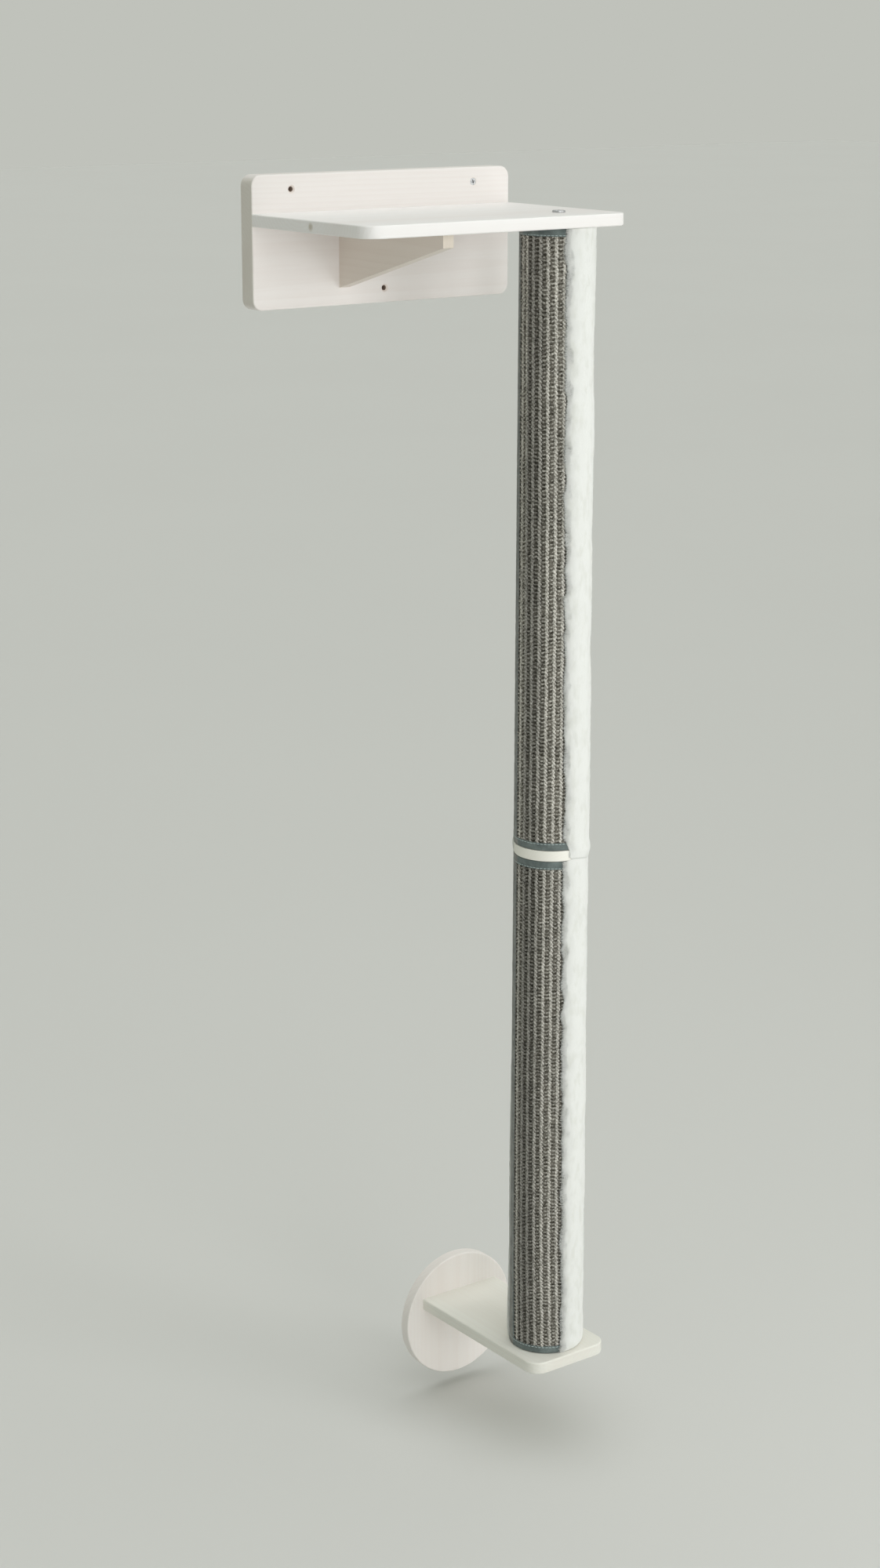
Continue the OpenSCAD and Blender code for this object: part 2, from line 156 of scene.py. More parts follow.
class NodeSheet:
    """Node tree of one finish, written through short calls."""

    def __init__(self, name: str) -> None:
        """Starts a material whose patterns lie in the object's own metres.

        Args:
            name: The material's name.
        """
        self.material = bpy.data.materials.new(name)
        self.material.use_nodes = True
        self.tree = self.material.node_tree
        self.shader = self.tree.nodes["Principled BSDF"]
        self.place = self.add("ShaderNodeTexCoord").outputs["Object"]

    def add(self, kind: str, inputs: dict | None = None, **settings: object) -> bpy.types.Node:
        """Adds a node.

        Args:
            kind: The node's type name.
            inputs: Socket name or number to a value or to another node's output.
            settings: Properties of the node.

        Returns:
            The new node.
        """
        node = self.tree.nodes.new(kind)
        for key, value in settings.items():
            setattr(node, key, value)
        for key, value in (inputs or {}).items():
            self.feed(node.inputs[key], value)
        return node

    def feed(self, socket: Socket, value: object) -> None:
        """Links an output to a socket, or sets the socket's own value.

        Args:
            socket: The input socket.
            value: Another node's output, a number, a vector or a colour.
        """
        if isinstance(value, bpy.types.NodeSocket):
            self.tree.links.new(value, socket)
        elif socket.type == "RGBA" and len(value) == 3:
            socket.default_value = (*value, 1.0)
        else:
            socket.default_value = value

    def set(self, **values: object) -> None:
        """Sets sockets of the shader, with an underscore for each space in a socket's name."""
        for name, value in values.items():
            self.feed(self.shader.inputs[name.replace("_", " ")], value)

    def stretched(self, scale: Place, shift: Place = (0, 0, 0)) -> Socket:
        """The place in the object, scaled and then shifted."""
        inputs = {"Vector": self.place, "Scale": scale, "Location": shift}
        return self.add("ShaderNodeMapping", inputs).outputs["Vector"]

    def noise(
        self,
        scale: float,
        place: Socket | None = None,
        detail: float = 3.0,
        roughness: float = 0.5,
        colour: bool = False,
    ) -> Socket:
        """Noise of about 1 / scale metres.

        Args:
            scale: Bumps for each metre.
            place: Where the noise is read, or the object's own place.
            detail: Finer octaves.
            roughness: Strength of the finer octaves.
            colour: True for three noises in one colour.

        Returns:
            The noise, from 0 to 1.
        """
        inputs = {"Vector": place or self.place, "Scale": scale, "Detail": detail, "Roughness": roughness}
        return self.add("ShaderNodeTexNoise", inputs).outputs[1 if colour else 0]

    def math(self, operation: str, a: object, b: object = 0.0) -> Socket:
        """Result of one sum on two values."""
        return self.add("ShaderNodeMath", {0: a, 1: b}, operation=operation).outputs[0]

    def vector(self, operation: str, a: object, b: object = (0, 0, 0)) -> Socket:
        """Result of one sum on two vectors; a length or a distance comes out as a value."""
        node = self.add("ShaderNodeVectorMath", {0: a, 1: b}, operation=operation)
        return node.outputs["Value" if operation in ("LENGTH", "DISTANCE") else "Vector"]

    def ramp(self, share: Socket, *stops: tuple[float, Colour]) -> Socket:
        """Colour that follows a share through stops.

        Args:
            share: The share, from 0 to 1.
            stops: Positions with their colours, from low to high.

        Returns:
            The colour.
        """
        node = self.add("ShaderNodeValToRGB", {0: share})
        elements = node.color_ramp.elements
        while len(elements) < len(stops):
            elements.new(1.0)
        for element, (position, colour) in zip(elements, stops):
            element.position = position
            element.color = (*colour, 1.0)
        return node.outputs["Color"]

    def range(self, value: Socket, low: float, high: float, to_low: float, to_high: float) -> Socket:
        """A value's range from low to high, laid on another range and held inside it."""
        inputs = {0: value, 1: low, 2: high, 3: to_low, 4: to_high}
        return self.add("ShaderNodeMapRange", inputs).outputs[0]

    def mix(self, share: object, a: object, b: object, blend: str = "MIX") -> Socket:
        """Mixes two colours.

        Args:
            share: Share of the second colour.
            a: The first colour.
            b: The second colour.
            blend: The way they blend.

        Returns:
            The mixed colour.
        """
        node = self.add("ShaderNodeMix", {}, data_type="RGBA", blend_type=blend)
        for number, value in ((0, share), (6, a), (7, b)):
            self.feed(node.inputs[number], value)
        return node.outputs[2]

    def bump(self, height: Socket, depth: float) -> Socket:
        """Normal of a relief that is depth metres deep."""
        inputs = {"Height": height, "Distance": depth, "Strength": 1.0}
        return self.add("ShaderNodeBump", inputs).outputs["Normal"]

    def about(self, axis: PostAxis) -> tuple[Socket, Socket]:
        """Turn round the posts, in radians, and height."""
        parts = self.add("ShaderNodeSeparateXYZ", {0: self.stretched((1, 1, 1), (-axis.x, -axis.y, 0))})
        return self.math("ARCTAN2", parts.outputs[1], parts.outputs[0]), parts.outputs[2]

    def rings(self, grain: Grain, pith: Place, sway: Socket, pitch: float) -> Socket:
        """Growth rings round a pith that runs along the grain.

        Args:
            grain: Axis of the grain.
            pith: A place on the pith.
            sway: Shift that bends the rings.
            pitch: Width of a ring.

        Returns:
            Share of its ring that each place has passed, from 0 to 1.
        """
        centre = tuple(-part * across for part, across in zip(pith, grain.value))
        bent = self.vector("ADD", self.stretched(grain.value, centre), sway)
        return self.math("FRACT", self.math("DIVIDE", self.vector("LENGTH", bent), pitch))


@dataclass(frozen=True)
class Knot:
    """A small knot or dark mark in a board."""

    place: Place
    radius: float
    core: float = 0.35
    depth: float = 0.75


@dataclass(frozen=True)
class Bore:
    """A wall hole along Y, whose countersink shows raw wood and whose bore shows raw wood darkened with
    painted shade.
    """

    x: float
    z: float
    bore_radius: float = 3.3 * MM
    sink_radius: float = 5.35 * MM
    blur: float = 0.25 * MM


@dataclass(frozen=True)
class GlazedPine:
    """White-glazed pine: faint growth rings, pinkish streaks and open pores under a satin glaze."""

    name: str
    grain: Grain
    pith: Place
    glaze: Colour
    knots: tuple[Knot, ...] = ()
    bores: tuple[Bore, ...] = ()
    # Painted shade on the faces cut across the grain: the wall board's ends and the bracket's front and back.
    end_face_shade: Colour = (1.0, 1.0, 1.0)
    late_wood: Colour = (0.975, 0.965, 0.96)
    streak: Colour = (0.95, 0.92, 0.91)
    knot_tone: Colour = screen(196, 186, 170)
    sink_tone: Colour = screen(238, 229, 224)
    # Raw wood of the bore, darkened further with painted shade.
    bore_wood_and_shade: Colour = screen(170, 152, 140)
    ring_pitch: float = 5.5 * MM
    ring_sway: float = 22 * MM
    sway_scale: float = 9.0
    streak_scale: float = 16.0
    streak_stretch: float = 0.07
    pore_scale: float = 420.0
    pore_stretch: float = 0.03
    pore_depth: float = 0.12 * MM

    def material(self) -> bpy.types.Material:
        """Builds the finish.

        Returns:
            The material.
        """
        sheet = NodeSheet(self.name)
        rings = self.late_rings(sheet)
        pores = sheet.noise(self.pore_scale, sheet.stretched(self.grain.drawn(self.pore_stretch)), 4.0)
        broad = sheet.noise(self.streak_scale, sheet.stretched(self.grain.drawn(self.streak_stretch)))
        wood = sheet.mix(rings, self.glaze, toned(self.glaze, self.late_wood))
        streak = toned(self.glaze, self.streak)
        wood = sheet.mix(sheet.range(broad, 0.46, 0.74, 0.0, 0.75), wood, streak)
        wood = sheet.mix(sheet.range(pores, 0.52, 0.75, 0.0, 0.30), wood, streak)
        wood = self.marked(sheet, self.painted_end_shade(sheet, wood))
        relief = sheet.math("ADD", sheet.math("MULTIPLY", pores, 0.6), sheet.math("MULTIPLY", rings, 0.4))
        sheet.set(
            Base_Color=wood,
            Roughness=sheet.range(pores, 0.3, 0.7, 0.42, 0.56),
            Specular_IOR_Level=0.35,
            Normal=sheet.bump(relief, self.pore_depth),
        )
        return sheet.material

    def late_rings(self, sheet: NodeSheet) -> Socket:
        """Share of late wood, which grows through each ring and then stops short.

        Args:
            sheet: The finish that is being built.

        Returns:
            The share.
        """
        drawn = sheet.stretched(self.grain.drawn(self.streak_stretch))
        sway = sheet.noise(self.sway_scale, drawn, detail=2.0, colour=True)
        sway = sheet.vector("MULTIPLY", sway, (self.ring_sway,) * 3)
        rings = sheet.rings(self.grain, self.pith, sway, self.ring_pitch)
        late = sheet.range(rings, 0.35, 0.95, 0.0, 0.75)
        return sheet.math("MULTIPLY", late, sheet.range(rings, 0.95, 1.0, 1.0, 0.0))

    def painted_end_shade(self, sheet: NodeSheet, wood: Socket) -> Socket:
        """Paints shade on the faces that are cut across the grain.

        Args:
            sheet: The finish that is being built.
            wood: Colour of the long grain.

        Returns:
            The colour with painted shade on its end faces.
        """
        normal = sheet.add("ShaderNodeNewGeometry").outputs["Normal"]
        along = sheet.vector("LENGTH", sheet.vector("MULTIPLY", normal, self.grain.along()))
        return sheet.mix(sheet.range(along, 0.6, 0.9, 0.0, 1.0), wood, self.end_face_shade, "MULTIPLY")

    def marked(self, sheet: NodeSheet, wood: Socket) -> Socket:
        """Lays the knots, and the raw wood of the wall holes with painted shade in their bores, over the
        glaze.

        Args:
            sheet: The finish that is being built.
            wood: Colour of the clear wood.

        Returns:
            The colour with its marks.
        """
        for knot in self.knots:
            gap = sheet.vector("DISTANCE", sheet.place, knot.place)
            dark = sheet.range(gap, knot.radius * knot.core, knot.radius, knot.depth, 0.0)
            wood = sheet.mix(dark, wood, self.knot_tone)
        for bore in self.bores:
            flat = sheet.vector("MULTIPLY", sheet.place, (1, 0, 1))
            gap = sheet.vector("DISTANCE", flat, (bore.x, 0, bore.z))
            for radius, tone in ((bore.sink_radius, self.sink_tone), (bore.bore_radius, self.bore_wood_and_shade)):
                wood = sheet.mix(sheet.range(gap, radius, radius + bore.blur, 1.0, 0.0), wood, tone)
        return wood


@dataclass(frozen=True)
class TurnedPine:
    """Pale bare pine of a turned disc, with its end grain and side grain."""

    name: str
    pale: Colour
    deep: Colour
    pith: Place
    grain: Grain = Grain.ALONG_X
    ring_pitch: float = 3.2 * MM
    ring_sway: float = 10 * MM
    sway_scale: float = 18.0
    pore_scale: float = 520.0
    pore_stretch: float = 0.05
    pore_depth: float = 0.1 * MM

    def material(self) -> bpy.types.Material:
        """Builds the finish.

        Returns:
            The material.
        """
        sheet = NodeSheet(self.name)
        sway = sheet.vector("MULTIPLY", sheet.noise(self.sway_scale, colour=True), (self.ring_sway,) * 3)
        rings = sheet.rings(self.grain, self.pith, sway, self.ring_pitch)
        pores = sheet.noise(self.pore_scale, sheet.stretched(self.grain.drawn(self.pore_stretch)), 4.0)
        wood = sheet.mix(sheet.range(rings, 0.3, 0.95, 0.0, 0.7), self.pale, self.deep)
        wood = sheet.mix(sheet.range(pores, 0.5, 0.75, 0.0, 0.35), wood, self.deep)
        sheet.set(
            Base_Color=wood,
            Roughness=sheet.range(pores, 0.3, 0.7, 0.45, 0.6),
            Normal=sheet.bump(pores, self.pore_depth),
        )
        return sheet.material


@dataclass(frozen=True)
class SpiralCardboard:
    """Brown board of a spiral-wound tube, with the seam of its outer ply."""

    name: str
    axis: PostAxis
    ply_width: float = 90 * MM
    seam_share: float = 0.012
    relief: float = 0.15 * MM
    pale: Colour = screen(176, 148, 112)
    deep: Colour = screen(142, 114, 82)
    seam_tone: Colour = screen(96, 74, 52)

    def material(self) -> bpy.types.Material:
        """Builds the finish.

        Returns:
            The material.
        """
        sheet = NodeSheet(self.name)
        turn, height = sheet.about(self.axis)
        lead = sheet.math("MULTIPLY", turn, 1 / math.tau)
        rise = sheet.math("DIVIDE", height, self.ply_width)
        across = sheet.math("FRACT", sheet.math("ADD", rise, lead))
        seam = sheet.range(across, 0.0, self.seam_share, 1.0, 0.0)
        fibre = sheet.noise(900.0, detail=5.0, roughness=0.7)
        tone = sheet.ramp(fibre, (0.3, self.deep), (0.7, self.pale))
        sheet.set(
            Base_Color=sheet.mix(sheet.math("MULTIPLY", seam, 0.6), tone, self.seam_tone),
            Roughness=sheet.range(fibre, 0.3, 0.7, 0.75, 0.92),
            Normal=sheet.bump(sheet.math("SUBTRACT", fibre, seam), self.relief),
        )
        return sheet.material


@dataclass(frozen=True)
class ZincSteel:
    """Bright zinc on steel, with the fine brushing and dull spots of plated fasteners."""

    name: str
    bright: Colour = screen(206, 207, 208)
    dull: Colour = screen(164, 166, 168)
    relief: float = 0.02 * MM

    def material(self) -> bpy.types.Material:
        """Builds the finish.

        Returns:
            The material.
        """
        sheet = NodeSheet(self.name)
        spots = sheet.noise(700.0, detail=4.0, roughness=0.6)
        brushed = sheet.noise(2600.0, sheet.stretched((1.0, 1.0, 0.12)), 2.0)
        sheet.set(
            Base_Color=sheet.ramp(spots, (0.35, self.dull), (0.65, self.bright)),
            Metallic=1.0,
            Roughness=sheet.range(brushed, 0.3, 0.7, 0.28, 0.44),
            Normal=sheet.bump(brushed, self.relief),
        )
        return sheet.material


@dataclass(frozen=True)
class Yarn:
    """Chunky sisal-like yarn: blotchy tones, fine fibres and no shine.

    It has painted shade on the left of the posts and on the lower post, and it is worn in patches.
    A turn past half a circle comes out above zero in the shader, and lies to the left of left_turns.
    """

    name: str
    axis: PostAxis
    light: Colour
    middle: Colour
    dark: Colour
    blotch: float = 190.0
    fibre: float = 1500.0
    worn: float = 85.0
    faded: float = 22.0
    left_turns: tuple[float, float] = (-2.75, -2.40)
    left_shade: float = 0.60
    low_from: float = -0.805
    low_blur: float = 5 * MM
    low_shade: float = 0.87
    relief: float = 0.35 * MM

    def material(self) -> bpy.types.Material:
        """Builds the finish.

        Returns:
            The material.
        """
        sheet = NodeSheet(self.name)
        blotch = sheet.noise(self.blotch, detail=4.0, roughness=0.65)
        fibre = sheet.noise(self.fibre, roughness=0.6)
        tone = sheet.ramp(blotch, (0.36, self.dark), (0.46, self.middle), (0.57, self.light))
        tone = sheet.mix(sheet.range(fibre, 0.35, 0.65, 0.30, 0.0), tone, self.dark)
        sheet.set(
            Base_Color=sheet.mix(1.0, tone, self.shade(sheet), "MULTIPLY"),
            Roughness=sheet.range(fibre, 0.3, 0.7, 0.82, 0.98),
            Specular_IOR_Level=0.15,
            Sheen_Weight=0.15,
            Normal=sheet.bump(fibre, self.relief),
        )
        return sheet.material

    def shade(self, sheet: NodeSheet) -> Socket:
        """Share of its full tone that the yarn has at each place, with painted shade on the left and lower
        post.

        Args:
            sheet: The finish that is being built.

        Returns:
            The share.
        """
        turn, height = sheet.about(self.axis)
        # Painted shade: darker towards the left of the posts.
        shade = sheet.range(turn, *self.left_turns, self.left_shade, 1.0)
        shade = sheet.math("MAXIMUM", shade, sheet.range(turn, 0.0, 0.1, 0.0, self.left_shade))
        # Painted shade: darker on the lower post.
        lower = sheet.range(height, self.low_from - self.low_blur, self.low_from, self.low_shade, 1.0)
        worn = sheet.range(sheet.noise(self.worn), 0.36, 0.64, 0.87, 1.04)
        faded = sheet.range(sheet.noise(self.faded, detail=2.0), 0.38, 0.62, 0.93, 1.02)
        for part in (lower, worn, faded):
            shade = sheet.math("MULTIPLY", shade, part)
        return shade


@dataclass(frozen=True)
class TapeWeave:
    """Woven binding tape: fine warp ribs with cross threads and a dull shine.

    Past side_turn the tape keeps its blue-grey tone. Short of it, over the mat's left side, the same tape
    is painted paler and greyer: painted light on its shaded side.
    """

    name: str
    axis: PostAxis
    light: Colour = screen(128, 140, 139)
    dark: Colour = screen(78, 89, 89)
    # Side tape tones: the same tape painted paler and greyer, a painted light.
    side_painted_pale: Colour = screen(160, 160, 157)
    side_painted_deep: Colour = screen(112, 113, 110)
    side_turn: float = 2.89
    side_blur: float = 0.07
    thread_pitch: float = 0.9 * MM
    radius: float = 50 * MM
    relief: float = 0.12 * MM

    def material(self) -> bpy.types.Material:
        """Builds the finish.

        Returns:
            The material.
        """
        sheet = NodeSheet(self.name)
        turn, height = sheet.about(self.axis)
        weft = sheet.math("SINE", sheet.math("MULTIPLY", turn, self.radius * math.tau / self.thread_pitch))
        warp = sheet.math("SINE", sheet.math("MULTIPLY", height, math.tau / self.thread_pitch))
        weave = sheet.math("MULTIPLY", weft, warp)
        wear = sheet.noise(60.0, detail=4.0)
        share = sheet.math("ADD", sheet.math("MULTIPLY", weave, 0.18), wear)
        tone = sheet.ramp(share, (0.3, self.dark), (0.7, self.light))
        # Painted light: the side tape's paler, greyer copy of the tape's tone, not fading.
        faded = sheet.ramp(share, (0.3, self.side_painted_deep), (0.7, self.side_painted_pale))
        past_side = sheet.range(turn, self.side_turn, self.side_turn + self.side_blur, 0.0, 1.0)
        side = sheet.math("MAXIMUM", past_side, sheet.range(turn, 0.0, 0.1, 1.0, 0.0))
        sheet.set(
            Base_Color=sheet.mix(side, faded, tone),
            Roughness=sheet.range(wear, 0.3, 0.7, 0.62, 0.8),
            Specular_IOR_Level=0.3,
            Sheen_Weight=0.2,
            Normal=sheet.bump(weave, self.relief),
        )
        return sheet.material


@dataclass(frozen=True)
class Thread:
    """Light sewing thread with the twist of its plies."""

    name: str
    tone: Colour
    shade: Colour
    relief: float = 0.1 * MM

    def material(self) -> bpy.types.Material:
        """Builds the finish.

        Returns:
            The material.
        """
        sheet = NodeSheet(self.name)
        twist = sheet.noise(2400.0, detail=2.0)
        sheet.set(
            Base_Color=sheet.ramp(twist, (0.35, self.shade), (0.6, self.tone)),
            Roughness=sheet.range(twist, 0.3, 0.7, 0.5, 0.7),
            Normal=sheet.bump(twist, self.relief),
        )
        return sheet.material


@dataclass(frozen=True)
class Plush:
    """White long-pile plush: soft sheen, very fine hair relief, and painted shade that greys it at the mat.

    Each of foot and head is a height with the turn of the mat's edge there.
    """

    name: str
    axis: PostAxis
    tip: Colour = screen(241, 242, 240)
    root: Colour = screen(233, 234, 230)
    hair: float = 1400.0
    lock: float = 95.0
    relief: float = 0.06 * MM
    # Share of full tone at the mat's edge, where the shade is painted.
    thinnest: float = 0.34
    edge_shade_run: float = 45.0
    patches: float = 26.0
    foot: tuple[float, float] = (-1.54, 257.0)
    head: tuple[float, float] = (0.02, 243.5)

    def material(self) -> bpy.types.Material:
        """Builds the finish.

        Returns:
            The material.
        """
        sheet = NodeSheet(self.name)
        hair = sheet.noise(self.hair, sheet.stretched((1.0, 1.0, 0.22)), roughness=0.6)
        lock = sheet.noise(self.lock, sheet.stretched((1.0, 1.0, 0.5)))
        tone = sheet.ramp(lock, (0.32, self.root), (0.52, self.tip))
        tone = sheet.mix(sheet.range(hair, 0.35, 0.6, 0.22, 0.0), tone, self.root)
        sheet.set(
            Base_Color=sheet.mix(1.0, tone, self.painted_edge_shade(sheet), "MULTIPLY"),
            Roughness=sheet.range(hair, 0.3, 0.7, 0.86, 1.0),
            Specular_IOR_Level=0.1,
            Sheen_Weight=0.25,
            Sheen_Roughness=0.6,
            Normal=sheet.bump(hair, self.relief),
        )
        return sheet.material

    def painted_edge_shade(self, sheet: NodeSheet) -> Socket:
        """Painted shade of the fur by its turn past the mat's edge, which slants down the posts.

        Args:
            sheet: The finish that is being built.

        Returns:
            A grey from the thinnest fur's shade to 1.
        """
        turn, height = sheet.about(self.axis)
        turn = sheet.math("MULTIPLY", turn, 180 / math.pi)
        (low, low_turn), (high, high_turn) = self.foot, self.head
        edge = sheet.range(height, low, high, low_turn - 360, high_turn - 360)
        patch = sheet.noise(70.0, sheet.stretched((1.0, 1.0, 0.6)), detail=4.0)
        patch = sheet.math("MULTIPLY", sheet.math("SUBTRACT", patch, 0.5), self.patches)
        past = sheet.math("ADD", sheet.math("SUBTRACT", turn, edge), patch)
        past = sheet.range(past, 0.0, self.edge_shade_run, 0.0, 1.0)
        near = 0.4 + 0.48 * self.thinnest
        stops = ((0.0, self.thinnest), (0.07, near), (0.19, 0.90), (0.45, 0.97), (1.0, 1.0))
        return sheet.ramp(past, *((place, (shade, shade, shade)) for place, shade in stops))


def place_piece(piece: bpy.types.Object) -> bpy.types.Object:
    """Links a new piece to the scene, on the part's one body.

    Args:
        piece: The new object.

    Returns:
        The same object.
    """
    link(piece)
    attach(piece, ROOT)
    log.info("%s: %d faces", piece.name, len(piece.data.polygons))
    return piece


def grid_faces(rows: int, columns: int, closed: bool = False) -> np.ndarray:
    """Quads of a grid of points, row by row.

    Args:
        rows: Rows of points.
        columns: Points in each row.
        closed: True if each row is a ring.

    Returns:
        Quads that face to the side where rows go up and columns go left to right.
    """
    last = columns if closed else columns - 1
    row, column = np.meshgrid(np.arange(rows - 1), np.arange(last), indexing="ij")
    beside = (column + 1) % columns
    low, high = row * columns, (row + 1) * columns
    return np.stack([low + column, low + beside, high + beside, high + column], -1).reshape(-1, 4)


def shell_faces(rows: int, columns: int) -> np.ndarray:
    """Quads of a closed shell of two grids of points.

    Args:
        rows: Rows of each grid.
        columns: Points in each row.

    Returns:
        Quads, where the outer grid's points come first and the inner grid's follow.
    """
    outer = grid_faces(rows, columns)
    step = rows * columns
    index = np.arange(step).reshape(rows, columns)
    edges = [index[0], index[:, -1], index[-1, ::-1], index[::-1, 0]]
    walls = [np.stack([e[1:], e[:-1], e[:-1] + step, e[1:] + step], -1) for e in edges]
    return np.concatenate([outer, outer[:, ::-1] + step, *walls])


def tube_faces(rings: int, sides: int) -> tuple[np.ndarray, ...]:
    """Faces of a closed tube.

    Args:
        rings: Rings of points.
        sides: Points in each ring.

    Returns:
        Quads of the skin and triangles of its two ends, whose tips come after the rings.
    """
    skin = grid_faces(rings, sides, closed=True)
    ring = np.arange(sides)
    beside = (ring + 1) % sides
    first, last = rings * sides, rings * sides + 1
    start = np.stack([np.full(sides, first), beside, ring], -1)
    top = (rings - 1) * sides
    end = np.stack([np.full(sides, last), top + ring, top + beside], -1)
    return skin, start, end


def ring_of(sides: int) -> np.ndarray:
    """Angles of the points of a ring, in radians."""
    return np.arange(sides) * math.tau / sides


@dataclass
class MeshDraft:
    """Points and faces that are gathered before they become one piece."""

    name: str
    points: list[np.ndarray] = field(default_factory=list)
    faces: list[np.ndarray] = field(default_factory=list)
    count: int = 0

    def add(self, points: np.ndarray, *faces: np.ndarray) -> None:
        """Adds points with faces that count from the first of them.

        Args:
            points: Points, with the three coordinates last.
            faces: Arrays of faces with three or four corners.
        """
        flat = points.reshape(-1, 3)
        self.points.append(flat)
        self.faces.extend(np.asarray(group) + self.count for group in faces)
        self.count += len(flat)

    def add_tube(self, skin: np.ndarray, tips: np.ndarray, flip: bool = False) -> None:
        """Adds a closed tube.

        Args:
            skin: Points, ring by ring.
            tips: The point that closes the first ring and the one that closes the last.
            flip: True to turn the faces over.
        """
        faces = tube_faces(*skin.shape[:2])
        if flip:
            faces = tuple(group[:, ::-1] for group in faces)
        self.add(np.concatenate([skin.reshape(-1, 3), tips]), *faces)

    def add_shell(self, outer: np.ndarray, inner: np.ndarray) -> None:
        """Adds a closed shell between two grids of points of the same size."""
        self.add(np.concatenate([outer, inner]), shell_faces(*outer.shape[:2]))

    def add_strip(self, points: np.ndarray, flip: bool) -> None:
        """Adds a swept closed section with its two ends.

        Args:
            points: Points, section by section.
            flip: True to turn the faces over.
        """
        rows, sides = points.shape[:2]
        half = np.arange(sides // 2 - 1)
        cap = np.stack([half, half + 1, sides - 2 - half, sides - 1 - half], -1)
        faces = [grid_faces(rows, sides, closed=True), cap[:, ::-1], cap + (rows - 1) * sides]
        self.add(points, *([group[:, ::-1] for group in faces] if flip else faces))

    def build(self, material: bpy.types.Material, slot: Slot) -> bpy.types.Object:
        """Makes the piece, smooth shaded, and lets it ride on the part.

        Args:
            material: Its finish.
            slot: The record's slot that the finish belongs to; not used.

        Returns:
            The new object.
        """
        corners = np.concatenate([group.ravel() for group in self.faces])
        sizes = np.concatenate([np.full(len(group), group.shape[1]) for group in self.faces])
        starts = np.concatenate([[0], np.cumsum(sizes)[:-1]])
        mesh = bpy.data.meshes.new(self.name)
        mesh.vertices.add(self.count)
        mesh.vertices.foreach_set("co", np.concatenate(self.points).astype(np.float32).ravel())
        mesh.loops.add(len(corners))
        mesh.loops.foreach_set("vertex_index", corners.astype(np.int32))
        mesh.polygons.add(len(sizes))
        mesh.polygons.foreach_set("loop_start", starts.astype(np.int32))
        mesh.update(calc_edges=True)
        mesh.validate()
        mesh.shade_smooth()
        mesh.materials.append(material)
        return place_piece(bpy.data.objects.new(self.name, mesh))


def soft_noise(rng: np.random.Generator, rows: np.ndarray, columns: np.ndarray) -> np.ndarray:
    """Smooth relief from -1 to 1.

    Args:
        rng: Seeded source of the relief.
        rows: Each row's place, in bumps.
        columns: Each column's place, in bumps.

    Returns:
        The relief, rows by columns.
    """

    def weights(places: np.ndarray) -> tuple[np.ndarray, np.ndarray]:
        """The bump before each place and the eased share of the next one."""
        start = np.floor(places - places.min()).astype(int)
        return start, ease(places - places.min() - start)

    (row, row_share), (column, column_share) = weights(rows), weights(columns)
    bumps = rng.uniform(-1, 1, (row.max() + 2, column.max() + 2))
    down = bumps[row] * (1 - row_share[:, None]) + bumps[row + 1] * row_share[:, None]
    return down[:, column] * (1 - column_share) + down[:, column + 1] * column_share


def soft_line(rng: np.random.Generator, places: np.ndarray) -> np.ndarray:
    """Smooth relief from -1 to 1 along a line of places in bumps."""
    return soft_noise(rng, places, np.zeros(1))[:, 0]


@dataclass(frozen=True)
class FabricFinishes:
    """Materials that both covered posts share."""

    ground: bpy.types.Material
    rib: bpy.types.Material
    loop: bpy.types.Material
    tape: bpy.types.Material
    stitch: bpy.types.Material
    # The side stitches' grey thread is the pale thread with painted shade.
    shaded_side_stitch: bpy.types.Material
    plush: bpy.types.Material
    hair: bpy.types.Material


@dataclass(frozen=True)
class CoverSpace:
    """Room that one post's cover has round its tube, and how the mat lies in it.

    Turns are counted as in the CAD part. The mat ends at its right edge, near straight ahead,
    and the plush goes round from there to the mat's left edge. Both slip round the post by
    slip_high at its head and by slip_low at its foot.
    """

    name: str
    axis: PostAxis
    low: float
    high: float
    slip_high: float = 0.0
    slip_low: float = 0.0
    mat_start: float = 137.0
    window_start: float = 164.2
    mat_end: float = 265.0
    inner_radius: float = 45.3 * MM
    outer_radius: float = 50.0 * MM
    end_tape: float = 11.0 * MM

    @property
    def length(self) -> float:
        """Length of the cover."""
        return self.high - self.low

    @property
    def plush_end(self) -> float:
        """Turn at which the plush comes round to the mat's left edge."""
        return 360.0 + self.mat_start

    def heights(self, step: float, inset: float) -> np.ndarray:
        """Even heights from end to end.

        Args:
            step: Largest distance between two heights.
            inset: Distance of the first and last height from the cover's ends.

        Returns:
            The heights, low to high.
        """
        count = math.ceil((self.length - 2 * inset) / step) + 1
        return np.linspace(self.low + inset, self.high - inset, count)

    def slip(self, heights: Numbers) -> Numbers:
        """Turn that the cover has slipped round the post at each height."""
        share = share_past(heights, self.low, self.length)
        return self.slip_high * share**2 + self.slip_low * (1 - share) ** 4

    def turned(self, aside: Numbers) -> Numbers:
        """Turn that goes with a distance round the mat's face."""
        return np.degrees(aside / self.outer_radius)


@dataclass
class CoverLayer:
    """What each layer of a post's cover works from."""

    space: CoverSpace
    finishes: FabricFinishes
    rng: np.random.Generator

    def draft(self, piece: str) -> MeshDraft:
        """Starts a piece that is named for its post."""
        return MeshDraft(f"{self.space.name}_{piece}")


